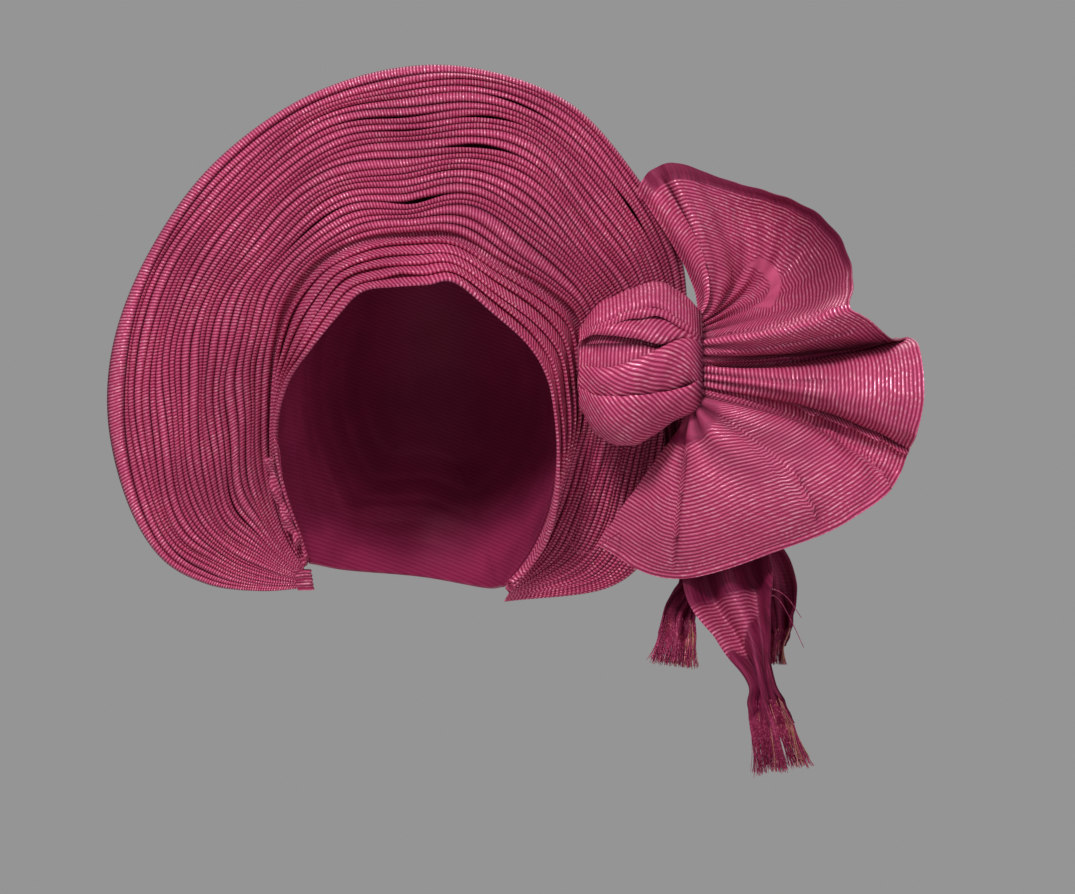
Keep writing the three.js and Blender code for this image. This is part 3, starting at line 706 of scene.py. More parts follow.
def weft_ridge(tree, phase):
    """0 between two wefts and 1 on a weft, where phase grows by 1 from weft to weft."""
    cosine = calc(tree, "COSINE", calc(tree, "MULTIPLY", phase, 2 * math.pi))
    return calc(tree, "MULTIPLY_ADD", cosine, -0.5, 0.5)


def drawn_lines(tree, weave, across, along):
    """Fine lines in satin, so many to the metre across the wefts and along them."""
    stretch = tree.nodes.new("ShaderNodeMapping")
    stretch.inputs["Scale"].default_value = (across, along, 1.0)
    put(stretch.inputs["Vector"], weave)
    return noise(tree, stretch.outputs[0], 1.0, 2.0)


def set_colour(tree, shader, colour, patches, darkest, lightest):
    """Sets an uneven colour, darkened and less glossy as painted shade where the painted shade mask
    is deep.
    """
    light = calc(tree, "MULTIPLY_ADD", attribute(tree, "hollow"), -0.92, 1.0)
    patch = noise(tree, object_coordinates(tree), patches, 3.0)
    tone = remap(tree, patch, 0.3, 0.7, darkest, lightest)
    toned = tree.nodes.new("ShaderNodeVectorMath")
    toned.operation = "SCALE"
    put(toned.inputs[0], colour)
    put(toned.inputs["Scale"], calc(tree, "MULTIPLY", tone, light))
    put(shader.inputs["Base Color"], toned.outputs[0])
    put(shader.inputs["Specular IOR Level"], calc(tree, "MULTIPLY", light, 0.5))
    shader.inputs["Specular Tint"].default_value = GLOSS_TINT


def set_relief(tree, shader, relief, strength, distance):
    """Makes a relief too fine for the mesh show in the shading."""
    height = tree.nodes.new("ShaderNodeBump")
    height.inputs["Strength"].default_value = strength
    height.inputs["Distance"].default_value = distance
    put(height.inputs["Height"], relief)
    put(shader.inputs["Normal"], height.outputs[0])


def striped_cloth(name, cloth, shade=1.0):
    """Dark ground with raised, shiny, broken wefts, and plain satin where the mask says so."""
    material, tree, shader = new_material(name)
    place = object_coordinates(tree)
    across, along, weave = weave_place(tree)
    wander = calc(tree, "MULTIPLY", noise(tree, place, 55.0, 1.0), 0.9)
    phase = calc(tree, "ADD", calc(tree, "DIVIDE", across, cloth.weft_pitch), wander)
    ridge = weft_ridge(tree, phase)
    dash_place = tree.nodes.new("ShaderNodeCombineXYZ")
    put(dash_place.inputs[0], calc(tree, "MULTIPLY", calc(tree, "FLOOR", phase), 7.31))
    put(dash_place.inputs[1], calc(tree, "DIVIDE", along, DASH_LENGTH))
    dash = remap(tree, noise(tree, dash_place.outputs[0], 1.0, 1.5), 0.44, 0.66)
    patch = remap(tree, noise(tree, place, 34.0, 2.0), 0.36, 0.62, 0.3, 1.0)
    # Flecks of metallic weft in broken dashes, patchy at random. They are partly metal and partly a
    # painted glint, where the glint colour lightens the base colour.
    fleck_and_glint = calc(tree, "MULTIPLY", remap(tree, ridge, 0.45, 0.95), dash)
    fleck_and_glint = calc(tree, "MULTIPLY", fleck_and_glint, patch)
    raised = remap(tree, ridge, 0.24, 0.80)
    stripe = blend_colour(tree, raised, tuple(cloth.ground), tuple(cloth.thread))
    stripe = blend_colour(tree, fleck_and_glint, stripe, tuple(cloth.glint))
    drawn = remap(tree, drawn_lines(tree, weave, 45.0, 1500.0), 0.32, 0.7)
    smooth = blend_colour(tree, drawn, SATIN_SHADE, tuple(cloth.satin))
    # Painted light: the lit mask lightens the satin towards the thread colour.
    lit = calc(tree, "MULTIPLY", attribute(tree, "lit"), 0.75)
    smooth = blend_colour(tree, lit, smooth, tuple(cloth.thread))
    woven = calc(tree, "SUBTRACT", 1.0, attribute(tree, "satin"))
    colour = blend_colour(tree, woven, smooth, stripe)
    # The shade factor darkens the whole colour: painted shade for the shaded copy.
    set_colour(tree, shader, colour, 18.0, 0.86 * shade, 1.1 * shade)
    shine = calc(tree, "MULTIPLY", raised, woven)
    put(shader.inputs["Roughness"], calc(tree, "MULTIPLY_ADD", shine, -0.20, 0.56))
    metal = calc(tree, "MULTIPLY", fleck_and_glint, woven)
    put(shader.inputs["Metallic"], calc(tree, "MULTIPLY", metal, 0.55))
    warp = calc(tree, "MULTIPLY", noise(tree, weave, 1500.0, 1.0), 0.35)
    relief = calc(tree, "ADD", calc(tree, "MULTIPLY", ridge, woven), warp)
    set_relief(tree, shader, relief, 0.8, cloth.weft_height)
    return material


def satin_reverse(name, cloth, shade=1.0):
    """The plain reverse: a smooth satin with fine drawn lines and faint wefts."""
    material, tree, shader = new_material(name)
    across, _, weave = weave_place(tree)
    ridge = weft_ridge(tree, calc(tree, "DIVIDE", across, cloth.weft_pitch))
    drawn = drawn_lines(tree, weave, 60.0, 1400.0)
    faint = calc(tree, "MULTIPLY", ridge, 0.22)
    base = blend_colour(tree, faint, tuple(cloth.satin), tuple(cloth.thread))
    dark = remap(tree, drawn, 0.3, 0.75, 0.0, 0.35)
    base = blend_colour(tree, dark, base, tuple(cloth.ground))
    # The shade factor darkens the whole colour: painted shade for the shaded copy.
    set_colour(tree, shader, base, 22.0, 0.82 * shade, 1.15 * shade)
    put(shader.inputs["Roughness"], remap(tree, drawn, 0.2, 0.8, 0.42, 0.58))
    relief = calc(tree, "ADD", calc(tree, "MULTIPLY", ridge, 0.6), drawn)
    set_relief(tree, shader, relief, 0.5, cloth.weft_height * 0.5)
    return material


def loose_thread(name, colour, tip):
    """Shiny thread, lighter in places."""
    material, tree, shader = new_material(name)
    place = object_coordinates(tree)
    share = remap(tree, noise(tree, place, 900.0, 1.0), 0.45, 0.75, 0.0, 0.8)
    put(shader.inputs["Base Color"], blend_colour(tree, share, tuple(colour), tuple(tip)))
    gloss = noise(tree, place, 500.0, 1.0)
    put(shader.inputs["Roughness"], remap(tree, gloss, 0.3, 0.7, 0.28, 0.45))
    shader.inputs["Metallic"].default_value = 0.5
    return material


def shared_material(name):
    """The named finish, made once."""
    cloth = bpy.context.scene.gele_cloth
    makers = {
        "Striped cloth": lambda: striped_cloth(name, cloth),
        # The shaded copies are darker all over, as painted shade for the tails, which hang under the
        # bow.
        "Striped cloth, shaded": lambda: striped_cloth(name, cloth, 0.8),
        "Satin reverse": lambda: satin_reverse(name, cloth),
        "Satin reverse, shaded": lambda: satin_reverse(name, cloth, 0.75),
        "Fringe thread": lambda: loose_thread(name, cloth.satin, cloth.thread),
        "Gold thread": lambda: loose_thread(name, cloth.gold, cloth.glint),
    }
    return bpy.data.materials.get(name) or makers[name]()


# The halo's surfaces

def halo_lines(t):
    """The front edge, the fan's root and the fan's rim at places from 0, left, to 1, right."""
    row = spline(HALO_ROWS.values(), t)
    return row[..., 0:3] * OPENING_SIZE, row[..., 3:6] * OPENING_SIZE, row[..., 6:9] * HALO_SIZE


def strip_normal(t):
    """The outward direction of the strip between the front edge and the fan's root."""
    reach = 0.012
    edge, root, _ = halo_lines(t)
    edge_before, root_before, _ = halo_lines(np.maximum(t - reach, 0))
    edge_after, root_after, _ = halo_lines(np.minimum(t + reach, 1))
    return unit(np.cross(edge_after + root_after - edge_before - root_before, root - edge))


def band_point(t, share, height):
    """A point on the band, from 0 at its front edge to 1 at the fan's root."""
    edge, root, _ = halo_lines(t)
    return mix(edge, root, by_vector(share)) + strip_normal(t) * by_vector(height)


def fan_point(t, share, height=0.0):
    """A point on the fan, from 0 at its root to 1 at its rim, with its height straight forward."""
    _, _, rim = halo_lines(t)
    root = band_point(t, 1.0, FAN_LIFT)
    return mix(root, rim, by_vector(share)) + np.array((0, -1, 0)) * by_vector(height)


def halo_place(x, z):
    """The place along the fan and the share from its root to its rim nearest to x and z."""
    t, share = np.meshgrid(np.linspace(0, 1, 401), np.linspace(0, 1, 161))
    points = fan_point(t, share)
    nearest = np.argmin((points[..., 0] - x) ** 2 + (points[..., 2] - z) ** 2)
    return t.flat[nearest], share.flat[nearest]


# The pieces

def pleat_lines(t, pleats):
    """The grooves between the pleats as shares from root to rim, uneven as hand pleating is."""
    k = np.arange(pleats)[:, None]
    widths = 1 + 0.40 * ripple(11, t[None], k / 6.0, 4.0, 2.4)
    widths = widths + 0.26 * ripple(12, t[None], k / 3.0, 11.0, 3.1)
    for pleat, extra, middle, half_length in WIDE_PLEATS:
        widths[pleat] += extra * bump(t, middle, half_length)
    widths = np.maximum(widths, NARROWEST_PLEAT)
    lines = np.cumsum(np.vstack([np.zeros_like(t), widths]), axis=0)
    return lines / lines[-1]


def slit_strength(t, lines):
    """How far each groove is parted along its length, one row for each groove."""
    strength = np.zeros_like(lines)
    for x, z, half_length, parting in SLIT_ROWS:
        middle, share = halo_place(x * HALO_HALF_WIDTH, z * HALO_HEIGHT)
        column = int(round(middle * (len(t) - 1)))
        groove = int(np.argmin(np.abs(lines[:, column] - share)))
        spots = fan_point(t, lines[groove])
        far = np.linalg.norm(spots - spots[column], axis=-1)
        strength[groove] += parting * np.exp(-(far / (half_length * HALO_HEIGHT)) ** 2)
    return np.clip(strength, 0, 1)


def pleated_fan():
    """The halo of narrow pleats, which starts under the band."""
    form = bpy.context.scene.gele_form
    cloth = bpy.context.scene.gele_cloth
    pleats = form.pleats
    phases = np.array(PLEAT_PHASES)
    steps = len(phases) - 1
    first = len(FAN_TUCK)
    last = first + pleats * steps
    places = np.linspace(0, 1, FAN_COLUMNS + 1)
    lines = pleat_lines(places, pleats)
    slits = slit_strength(places, lines)

    def shape(u, v):
        t = u[0]
        _, root, rim = halo_lines(t)
        width = np.linalg.norm(rim - root, axis=-1) / pleats
        crest = np.minimum(form.pleat_depth, 1.7 * width)
        grid = [band_point(t, share, BAND_WALL / 2) for share in FAN_TUCK]
        for line in range(pleats * steps + 1):
            k = min(line // steps, pleats - 1)
            phase = phases[line - k * steps]
            near = 0 if phase < 0.5 else 1
            parted = slits[k + near]
            edge = 1 - abs(2 * phase - 1)
            aside = (0.5 - abs(phase - near)) * 0.5 * parted * (1 - 2 * near) * (0 < edge < 1)
            uneven = 0.84 + 0.24 * ripple(21, t, k / 4.0, 7.0, 3.3)
            height = crest * uneven * (1 - (1 - edge) ** PLEAT_ROUNDNESS) ** 0.5
            if edge < 0.2:
                height = height * (1 - parted) - SLIT_DEPTH * parted
            share = mix(lines[k], lines[k + 1], phase + aside)
            grid.append(fan_point(t, share, height - PLEAT_SINK))
        return np.array(grid)

    def hollow(u, v):
        # Painted shade in the grooves between the pleats. It is uneven from groove to groove, weaker
        # in the first groove at the root, and full along the parted slits.
        line = np.maximum(np.rint(v * last).astype(int) - first, 0)
        k = np.minimum(line // steps, pleats - 1)
        phase = phases[line - k * steps]
        groove = k + (phase > 0.5)
        from_groove = np.minimum(phase, 1 - phase)
        column = np.rint(u * FAN_COLUMNS).astype(int)
        strength = np.clip(0.80 + 0.5 * ripple(23, u, groove / 5.0, 5.0, 3.7), 0.2, 1)
        depth = np.exp(-(from_groove / 0.15) ** 2) * np.where(groove == 0, 0.45, 1)
        return strength * depth + slits[groove, column] * (from_groove < 0.1)

    def crest_line(net):
        return first + np.maximum(net.face_j - first, 0) // steps * steps + steps // 2

    weave = weave_across_columns(cloth.weft_pitch / cloth.rib_pitch, 6, crest_line)
    piece = cloth_grid("fan_cloth", FAN_COLUMNS, last, shape, weave, None, {"hollow": hollow})
    face_front(piece)
    give_thickness(piece)
    seat(piece, ["pleated_fan"])
    return piece


def band_fold(fold):
    """One flat fold of the band, its outer part tucked under the next."""
    form = bpy.context.scene.gele_form
    pitch = 1 / BAND_FOLDS
    width = pitch if fold == BAND_FOLDS - 1 else pitch * (1 + BAND_TUCK)
    places, rolls = np.array(FOLD_SECTION).T

    def shape(u, v):
        line = v * (len(places) - 1)
        share = np.interp(line, np.arange(len(places)), places)
        lift = np.interp(line, np.arange(len(rolls)), rolls) * form.fold_roll
        waver = 0.10 * pitch * ripple(31 + fold, u, 0, 9.0, 1.0) * (1 - share) * (fold > 0)
        sag = FOLD_SAG * ripple(41 + fold, u, v, 7.0, 0.8) * (1 - share)
        gap = FOLD_GAP * bump(u, 0.47, 0.018) * (1 - share) * (fold == 1)
        surface = BAND_LIFT * (1 - np.clip(share, 0, 1)) + BAND_WALL / 2
        return band_point(u, fold * pitch + share * width + waver, surface + lift + sag + gap)

    name = f"band_fold_{fold + 1}"
    weave = weave_across_columns(slant=6 + 3 * fold)
    piece = cloth_grid(f"{name}_cloth", BAND_COLUMNS, len(places) - 1, shape, weave)
    face_front(piece)
    give_thickness(piece, reverse="Striped cloth")
    seat(piece, [name])
    return piece


def wrap_edge(u):
    """The wrap's edge: under the fan's root from left to right, then back along the hem."""
    front = band_point(np.clip(u / FRONT_SHARE, 0, 1), 1 - WRAP_LAP, -CLEARANCE)
    ends = band_point(np.array((1.0, 0.0)), 1 - WRAP_LAP, -CLEARANCE)
    hem_rows = [ends[0], *(np.array(row) * OPENING_SIZE for row in BACK_HEM_ROWS), ends[1]]
    hem = spline(hem_rows, np.clip((u - FRONT_SHARE) / (1 - FRONT_SHARE), 0, 1))
    return np.where(by_vector(u < FRONT_SHARE), front, hem)


def back_wrap():
    """The cloth over the crown and the back, drawn together at a pole behind."""
    pole = unit(np.array((0, 1, 0.1)))

    def shape(u, v):
        edge = wrap_edge(u)
        far = np.linalg.norm(edge, axis=-1)
        direction = edge / by_vector(far)
        angle = np.arccos(np.clip(direction @ pole, -1, 1))
        turned = by_vector(np.sin((1 - v) * angle)) * direction
        turned = (turned + by_vector(np.sin(v * angle)) * pole) / by_vector(np.sin(angle))
        crown = 1 / np.linalg.norm(turned / OPENING_SIZE, axis=-1)
        settle = np.minimum(1, v / WRAP_SETTLE)
        fold = v * WRAP_FOLDS + 0.25 * ripple(51, u, v, 2.0, 1.0) * inside(u, 0.06)
        saw = fold - np.floor(fold)
        lap = WRAP_FOLD * saw ** 2 * step_up(1 - saw, 0, 0.3) * settle * step_up(1 - v, 0, 0.35)
        sag = WRAP_SAG * ripple(52, u, v, 5.0, 3.0) * settle * step_up(1 - v, 0, 0.3)
        out = mix(far, crown, settle) + lap + sag * inside(u, 0.06) - WRAP_WALL / 2
        points = turned * by_vector(out)
        under_band = band_point(u[0] / FRONT_SHARE, WRAP_TUCK, -CLEARANCE / 2)
        points[0] = np.where(by_vector(u[0] <= FRONT_SHARE), under_band, points[0])
        return points

    def weave(net):
        points = net.points[net.j, net.i]
        return points[:, 2] * 0.94 + points[:, 0] * 0.34, points[:, 0] - points[:, 1]

    def hollow(u, v):
        # Painted shade over the whole wrap, deeper towards the pole at the back.
        return 0.2 + 0.35 * step_up(v, 0.1, 0.8)

    piece = cloth_grid(
        "wrap_cloth", WRAP_COLUMNS, WRAP_LINES, shape, weave, None, {"hollow": hollow})
    merge_seam(piece)
    face_front(piece, (0, 1, 0))
    give_thickness(piece, 2, "Satin reverse")
    seat(piece, ["back_wrap"])
    return piece


def knot_line():
    """The knot's start and the neck where it ends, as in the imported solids."""
    station = np.array(list(HALO_ROWS).index("knot_middle") / (len(HALO_ROWS) - 1))
    low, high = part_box("knot")
    seat_point = fan_point(station, -KNOT_LAP, KNOT_PLEAT_CLEARANCE)
    start = np.array((low[0], seat_point[1] - KNOT_LEAN * KNOT_THICKNESS, seat_point[2]))
    neck = np.array((high[0], start[1] - NECK_LEAN * KNOT_THICKNESS, start[2]))
    return start, neck


def knot_section(t):
    """Middle, half height, front depth and back depth of the knot's sections."""
    start, neck = knot_line()
    middle, half, front, back = np.moveaxis(spline(KNOT_ROWS, t), -1, 0)
    centre = mix(start, neck, by_vector(t))
    centre = centre + np.array((0, 0, 1)) * by_vector(middle * KNOT_HEIGHT)
    return centre, half * KNOT_HEIGHT, front * KNOT_THICKNESS, back * KNOT_THICKNESS


def knot_core():
    """The wound inner turns, which show round the knot's sides and back."""
    def shape(u, v):
        t = np.clip(1.04 * v - 0.02, 0, 1)
        close = np.sqrt(np.clip(1 - np.abs(2 * v - 1) ** 14, 0, 1))
        centre, half, front, back = knot_section(t)
        angle = 2 * np.pi * u
        depth = np.where(np.cos(angle) > 0, back, front - CORE_SINK)
        turns = np.sin(angle * 7 + 3 * np.sin(4 * v)) * step_up(np.cos(angle), -0.4, 0.2)
        turns = 1 + 0.045 * turns
        offset = np.stack([
            0.004 * np.sin(6 * angle) * (1 - close), np.cos(angle) * depth * turns,
            np.sin(angle) * (half - 0.001) * turns], axis=-1)
        return centre + offset * by_vector(close)

    def hollow(u, v):
        # An even painted shade over the whole core.
        return np.full_like(u, 0.35)

    piece = cloth_grid(
        "knot_core", 160, 60, shape, weave_along_columns, None, {"hollow": hollow})
    finish_roll(piece, "knot")
    return piece


def knot_fold(name, upper, lower, upper_off, lower_off, puff, slant):
    """One fold of cloth wound over the knot's front, with its raised edges rolled."""
    def shape(u, v):
        t = 0.004 + 0.992 * u
        top, bottom = (spline(np.column_stack([edge]), t)[..., 0] for edge in (upper, lower))
        level = np.clip(mix(top, bottom, v), -1, 1)
        centre, half, front, _ = knot_section(t)
        rounded = np.sqrt(1 - 0.985 * level ** 2)
        rise = mix(upper_off, lower_off, step_up(v, 0.1, 0.9))
        rise = (rise + puff * np.sqrt(np.clip(4 * v * (1 - v), 0, 1))) * KNOT_THICKNESS
        crumple = KNOT_CRUMPLE * ripple(len(name), u, v, 6.0, 1.5)
        out = (rise + crumple) * (0.25 + 0.75 * inside(u, 0.12)) + CLEARANCE
        return centre + np.stack([0 * t, -(front + out) * rounded, level * (half + out)], axis=-1)

    def hollow(u, v):
        # Painted shade along each edge that tucks under, and at the end by the neck.
        above = 0.9 * bump(v, 0, 0.16) * (upper_off < 0)
        below = 0.9 * bump(v, 1, 0.16) * (lower_off < 0)
        return np.maximum(np.maximum(above, below), 0.8 * bump(u, 1, 0.05))

    weave = weave_across_columns(slant=slant)
    piece = cloth_grid(f"knot_{name}", 90, 30, shape, weave, None, {"hollow": hollow})
    face_front(piece)
    give_thickness(piece, 1.4)
    seat(piece, ["knot"])
    return piece


def bow_point(around, out):
    """A point of the bow: around from the scoop to the panel, out from the neck to the hem."""
    _, neck = knot_line()
    row = spline(BOW_ROWS.values(), around)
    size = np.array((BOW_REACH, -BOW_RUFFLE, BOW_REACH))
    hem = row[..., [0, 2, 1]] * size
    mid = row[..., [3, 5, 4]] * size
    foot = np.stack([
        np.full_like(around, BOW_START), -NECK_BULGE * np.sin(np.pi * around),
        NECK_HALF_HEIGHT * np.cos(np.pi * around)], axis=-1)
    o = out[..., None]
    return neck + foot * (1 - o) * (1 - 2 * o) + mid * 4 * o * (1 - o) + hem * o * (2 * o - 1)


def tuck(offset):
    """A pressed fold's section: it rises to a sharp edge and drops behind it."""
    away = np.abs(offset)
    return np.where(offset > 0, np.exp(-2.2 * away), -0.55 * np.exp(-3.0 * away))


def bow():
    """The ruffled end of the cloth, which opens from the knot's neck."""
    form = bpy.context.scene.gele_form

    def from_hem(u, v):
        length = np.interp(u, (0, 0.3, 0.5, 0.75, 1), (0.10, 0.12, 0.12, 0.11, 0.115))
        return (1 - v) * length

    def gather_wave(u, v):
        return np.sin(2 * np.pi * (17 * u + 0.8 * ripple(61, u, v, 2.0, 0.4)))

    def creases(u, v):
        """For each crease the distance from its line in half widths, its strength and depth."""
        half_fade = CREASE_FADE / 2
        for at_neck, at_hem, start, end, half_width, depth in BOW_CREASES:
            strength = step_up(v, start, start + CREASE_FADE)
            strength = strength * step_up(1 - v, 1 - end - half_fade, 1 - end + half_fade)
            yield (u - mix(at_neck, at_hem, v)) / half_width, strength, depth

    def relief(u, v):
        gathers = BOW_GATHER * (1 - v) ** 1.3 * step_up(v, 0, 0.08) * gather_wave(u, v)
        sway = v * BOW_SWAY * ripple(62, u, v, 9.0, 1.2)
        sway = sway + v * BOW_CRUMPLE * ripple(63, u, v, 26.0, 5.0)
        folds = np.zeros_like(u)
        for offset, strength, depth in creases(u, v):
            folds += depth * BOW_RUFFLE * strength * tuck(offset)
        hem = HEM_RISE * step_up(form.hem_width - from_hem(u, v), 0, 0.001)
        hem = hem - HEM_SEAM * bump(from_hem(u, v), form.hem_width, 0.0008)
        drawn = np.sin(2 * np.pi * 34 * u + 5 * ripple(64, u, v, 3.0, 1.0))
        drawn = BOW_CRUMPLE * v * drawn * step_up(0.4 - u, 0, 0.1)
        return gathers + sway + folds + hem + drawn

    def scoop_patch(u, v):
        """The smooth crescent inside the scoop, beside a rounded fold."""
        from_u, from_v = u - SCOOP_PATCH_MIDDLE[0], v - SCOOP_PATCH_MIDDLE[1]
        down = from_u / SCOOP_PATCH_DOWN[0] - from_v / SCOOP_PATCH_DOWN[1]
        right = from_u / SCOOP_PATCH_RIGHT[0] + from_v / SCOOP_PATCH_RIGHT[1]
        left_edge = step_up(right, 0.2 - 1.2 * down ** 2, 0.4 - 1.2 * down ** 2)
        right_edge = step_up(1.5 - 0.9 * np.minimum(down, 0) ** 2 - right, 0, 0.2)
        return left_edge * right_edge * step_up(1 - np.abs(down), 0, 0.15)

    def satin_rim(u, v):
        return step_up(SATIN_RIM - from_hem(u, v), 0, 0.0006) * step_up(0.29 - u, 0, 0.02)

    def hollow(u, v):
        # Painted shade between the gathers and along the edge at the neck, on the low side of each
        # crease, in the back of the scoop, in the valley and lightly on the satin rim. Most of it is
        # taken off in the smooth crescent.
        between_gathers = step_up(-gather_wave(u, v), -0.6, 0.9)
        dark = 0.75 * (1 - v) ** 3 * between_gathers + 0.7 * bump(v, 0, 0.03)
        for offset, strength, depth in creases(u, v):
            low_side = np.where(offset * depth < 0, np.exp(-1.8 * np.abs(offset)), 0)
            deepest = 0.85 * min(1, abs(depth) / DARKEST_CREASE)
            dark = np.maximum(dark, deepest * strength * low_side)
        scoop = 0.55 * bump(u, 0.235, 0.065) * step_up(v, 0.2, 0.75)
        valley = 0.62 * bump(u, 0.440, 0.028) * step_up(v, 0.05, 0.3)
        for place in (scoop, valley, 0.2 * satin_rim(u, v)):
            dark = np.maximum(dark, place)
        return dark * (1 - 0.85 * scoop_patch(u, v))

    def satin(u, v):
        below_neck = step_up(0.115 + 0.8 * (u - 0.76) - v, 0, 0.035) * step_up(u, 0.75, 0.76)
        return satin_rim(u, v) * step_up(u, 0.02, 0.03) + below_neck + scoop_patch(u, v)

    def lit(u, v):
        # Painted light on the satin: over the smooth crescent, in part on the satin below the neck,
        # and a little over the outer half.
        below_neck = 0.4 * step_up(0.2 - v, 0, 0.05) * step_up(u, 0.75, 0.76)
        return scoop_patch(u, v) + below_neck + 0.2 * step_up(v, 0.5, 0.6)

    piece = cloth_grid(
        "bow_cloth", BOW_COLUMNS, BOW_LINES, bow_point, weave_along_columns, relief,
        {"satin": satin, "hollow": hollow, "lit": lit})
    face_front(piece)
    give_thickness(piece)
    seat(piece, ["bow"])
    return piece


def tail_frame(rows, t):
    """Middle, width direction, out direction, down direction and half width of a tail."""
    _, neck = knot_line()

    def centre_at(places):
        x, z, ahead = np.moveaxis(spline(rows, places)[..., :3], -1, 0)
        return neck + np.stack([x, -ahead, z], axis=-1) * TAIL_LENGTH

    row = spline(rows, t)
    down = unit(centre_at(np.minimum(t + 0.02, 1)) - centre_at(np.maximum(t - 0.02, 0)))
    x_axis = np.array((1.0, 0, 0))
    side = unit(x_axis - down * by_vector(down @ x_axis))
    turn = by_vector(row[..., 4] * np.pi / 2)
    side = side * np.cos(turn) + np.cross(down, side) * np.sin(turn)
    return centre_at(t), side, np.cross(down, side), down, row[..., 3] * TAIL_WIDTH


def tail(name, seed):
    """One hanging end of the cloth with its fringe."""
    def pleat_wave(u, v):
        return np.sin(2 * np.pi * (4.5 * u + 0.7 * ripple(seed, u, v, 1.0, 1.4)))

    def shape(u, v):
        centre, side, out, _, half = tail_frame(TAIL_ROWS[name], v)
        across = 2 * u - 1
        curl = TAIL_CURL * half * np.cos(2 * np.pi * across)
        fine = TAIL_PLEAT * mix(0.35, 1, bump(v, 0.72, 0.16)) * pleat_wave(u, v)
        crumple = TAIL_CRUMPLE * ripple(seed + 1, u, v, 1.6, 3.0)
        ragged = 1 + 0.03 * ripple(seed + 2, v, 0, 9.0, 1.0)
        flat = centre + side * by_vector(across * half * ragged)
        return flat + out * by_vector(curl + fine + crumple)

    def satin(u, v):
        if name != "tail_front":
            return np.full_like(u, 0.94)
        edge = 0.04 * ripple(seed + 4, u, v, 4.0, 3.0)
        patch = step_up(v, 0.36 + edge[0, 0], 0.40) * step_up(0.60 - 0.16 * u + edge - v, 0, 0.02)
        return 1 - patch * step_up(0.74 + edge - u, 0, 0.03)

    def hollow(u, v):
        # Painted shade in the troughs of the lower folds, and painted shadow over the top, under the
        # bow.
        folds = 0.6 * step_up(-pleat_wave(u, v), 0.3, 1) * step_up(v, 0.5, 0.65)
        return np.maximum(folds, 0.6 * step_up(0.40 - v, 0, 0.2))

    piece = cloth_grid(
        f"{name}_cloth", TAIL_COLUMNS, TAIL_LINES, shape, weave_along_columns, None,
        {"satin": satin, "hollow": hollow})
    face_front(piece)
    # The shaded finishes are painted shade under the bow.
    give_thickness(piece, 1, "Striped cloth, shaded", "Satin reverse, shaded")
    seat(piece, [name])
    fringe = tail_fringe(name, seed + 3)
    return piece


def tail_fringe(name, seed):
    """Threads that hang from a tail's cut end, most of them pink and some gold."""
    form = bpy.context.scene.gele_form
    rng = np.random.default_rng(seed)
    share = FRINGE_SHARES[name]
    pink, gold = [], []
    reach = np.linspace(0, 1, 7)[1:, None]
    for _ in range(int(form.strands * (0.35 + 0.65 * share))):
        t = rng.uniform(0.80, 1.0)
        across = rng.uniform(-1, 1)
        length = FRINGE_LENGTH * share * rng.uniform(0.8, 1.06)
        drift = rng.normal(0, 0.07, 2)
        centre, side, out, down, half = tail_frame(TAIL_ROWS[name], np.linspace(t, 1, 5))
        curl = TAIL_CURL * half * math.cos(2 * math.pi * across)
        lie = centre + side * by_vector(across * half) + out * by_vector(curl + 0.0008)
        sway = side[-1] * (0.25 * across * half[-1] + drift[0] * length)
        sway = sway + out[-1] * drift[1] * length
        hang = lie[-1] + down[-1] * length * reach + sway * reach ** 1.6
        golden = across > 0.5 and rng.uniform() < 0.4 or rng.uniform() < 0.04
        (gold if golden else pink).append(np.vstack([lie, hang]))
    pieces = [
        strands(f"{name}_fringe", pink, form.strand_radius, "Fringe thread"),
        strands(f"{name}_gold_fringe", gold, form.strand_radius, "Gold thread")]
    for piece in pieces:
        seat(piece, [])
    return pieces


def side_tie():
    """A rolled and twisted strip of cloth down the left edge of the opening."""
    def shape(u, v):
        station = mix(0.155, 0.03, v)
        lump = mix(0.55, 1, np.abs(np.cos(3 * np.pi * v)))
        radius = TIE_RADIUS * lump * step_up(v, -0.05, 0.04) * step_up(1 - v, -0.05, 0.04)
        base = band_point(station, 0.1, BAND_LIFT + BAND_WALL + CLEARANCE + radius)
        edge, root, _ = halo_lines(station)
        angle = 2 * np.pi * (u + 1.5 * v)
        reach = 0.82 + 0.18 * np.cos(3 * 2 * np.pi * u + 9 * v) + 0.05 * ripple(71, u, v, 3.0, 9.0)
        out = strip_normal(station) * by_vector(radius * reach * np.sin(angle))
        return base + out + unit(root - edge) * by_vector(radius * reach * np.cos(angle))

    piece = cloth_grid("side_tie_cloth", 36, 110, shape, weave_along_columns)
    finish_roll(piece, "side_tie")
    return piece


def gather_tab():
    """The cloth folded round the gathered end of the pleats at the lower left."""
    def shape(u, v):
        middle = fan_point(np.zeros_like(u), mix(0.12, 1.12, v), -0.0015)
        angle = np.clip(np.pi * (u * 1.6 - 0.8), -np.pi / 2, np.pi / 2)
        reach = TAB_RADIUS + 0.0003 * np.sin(9 * np.pi * v)
        legs = np.maximum(np.abs(u - 0.5) - 0.3, 0) / 0.2
        x = CLEARANCE + reach * np.cos(angle) - 0.005 * legs
        y = reach * np.sin(angle) * (1 + 0.65 * legs)
        return middle + np.stack([x, y, 0 * u], axis=-1)

    piece = cloth_grid("gather_tab_cloth", 30, 24, shape, weave_along_columns)
    face_front(piece, (1, 0, 0))
    give_thickness(piece, reverse="Striped cloth")
    seat(piece, ["gather_tab"])
    return piece


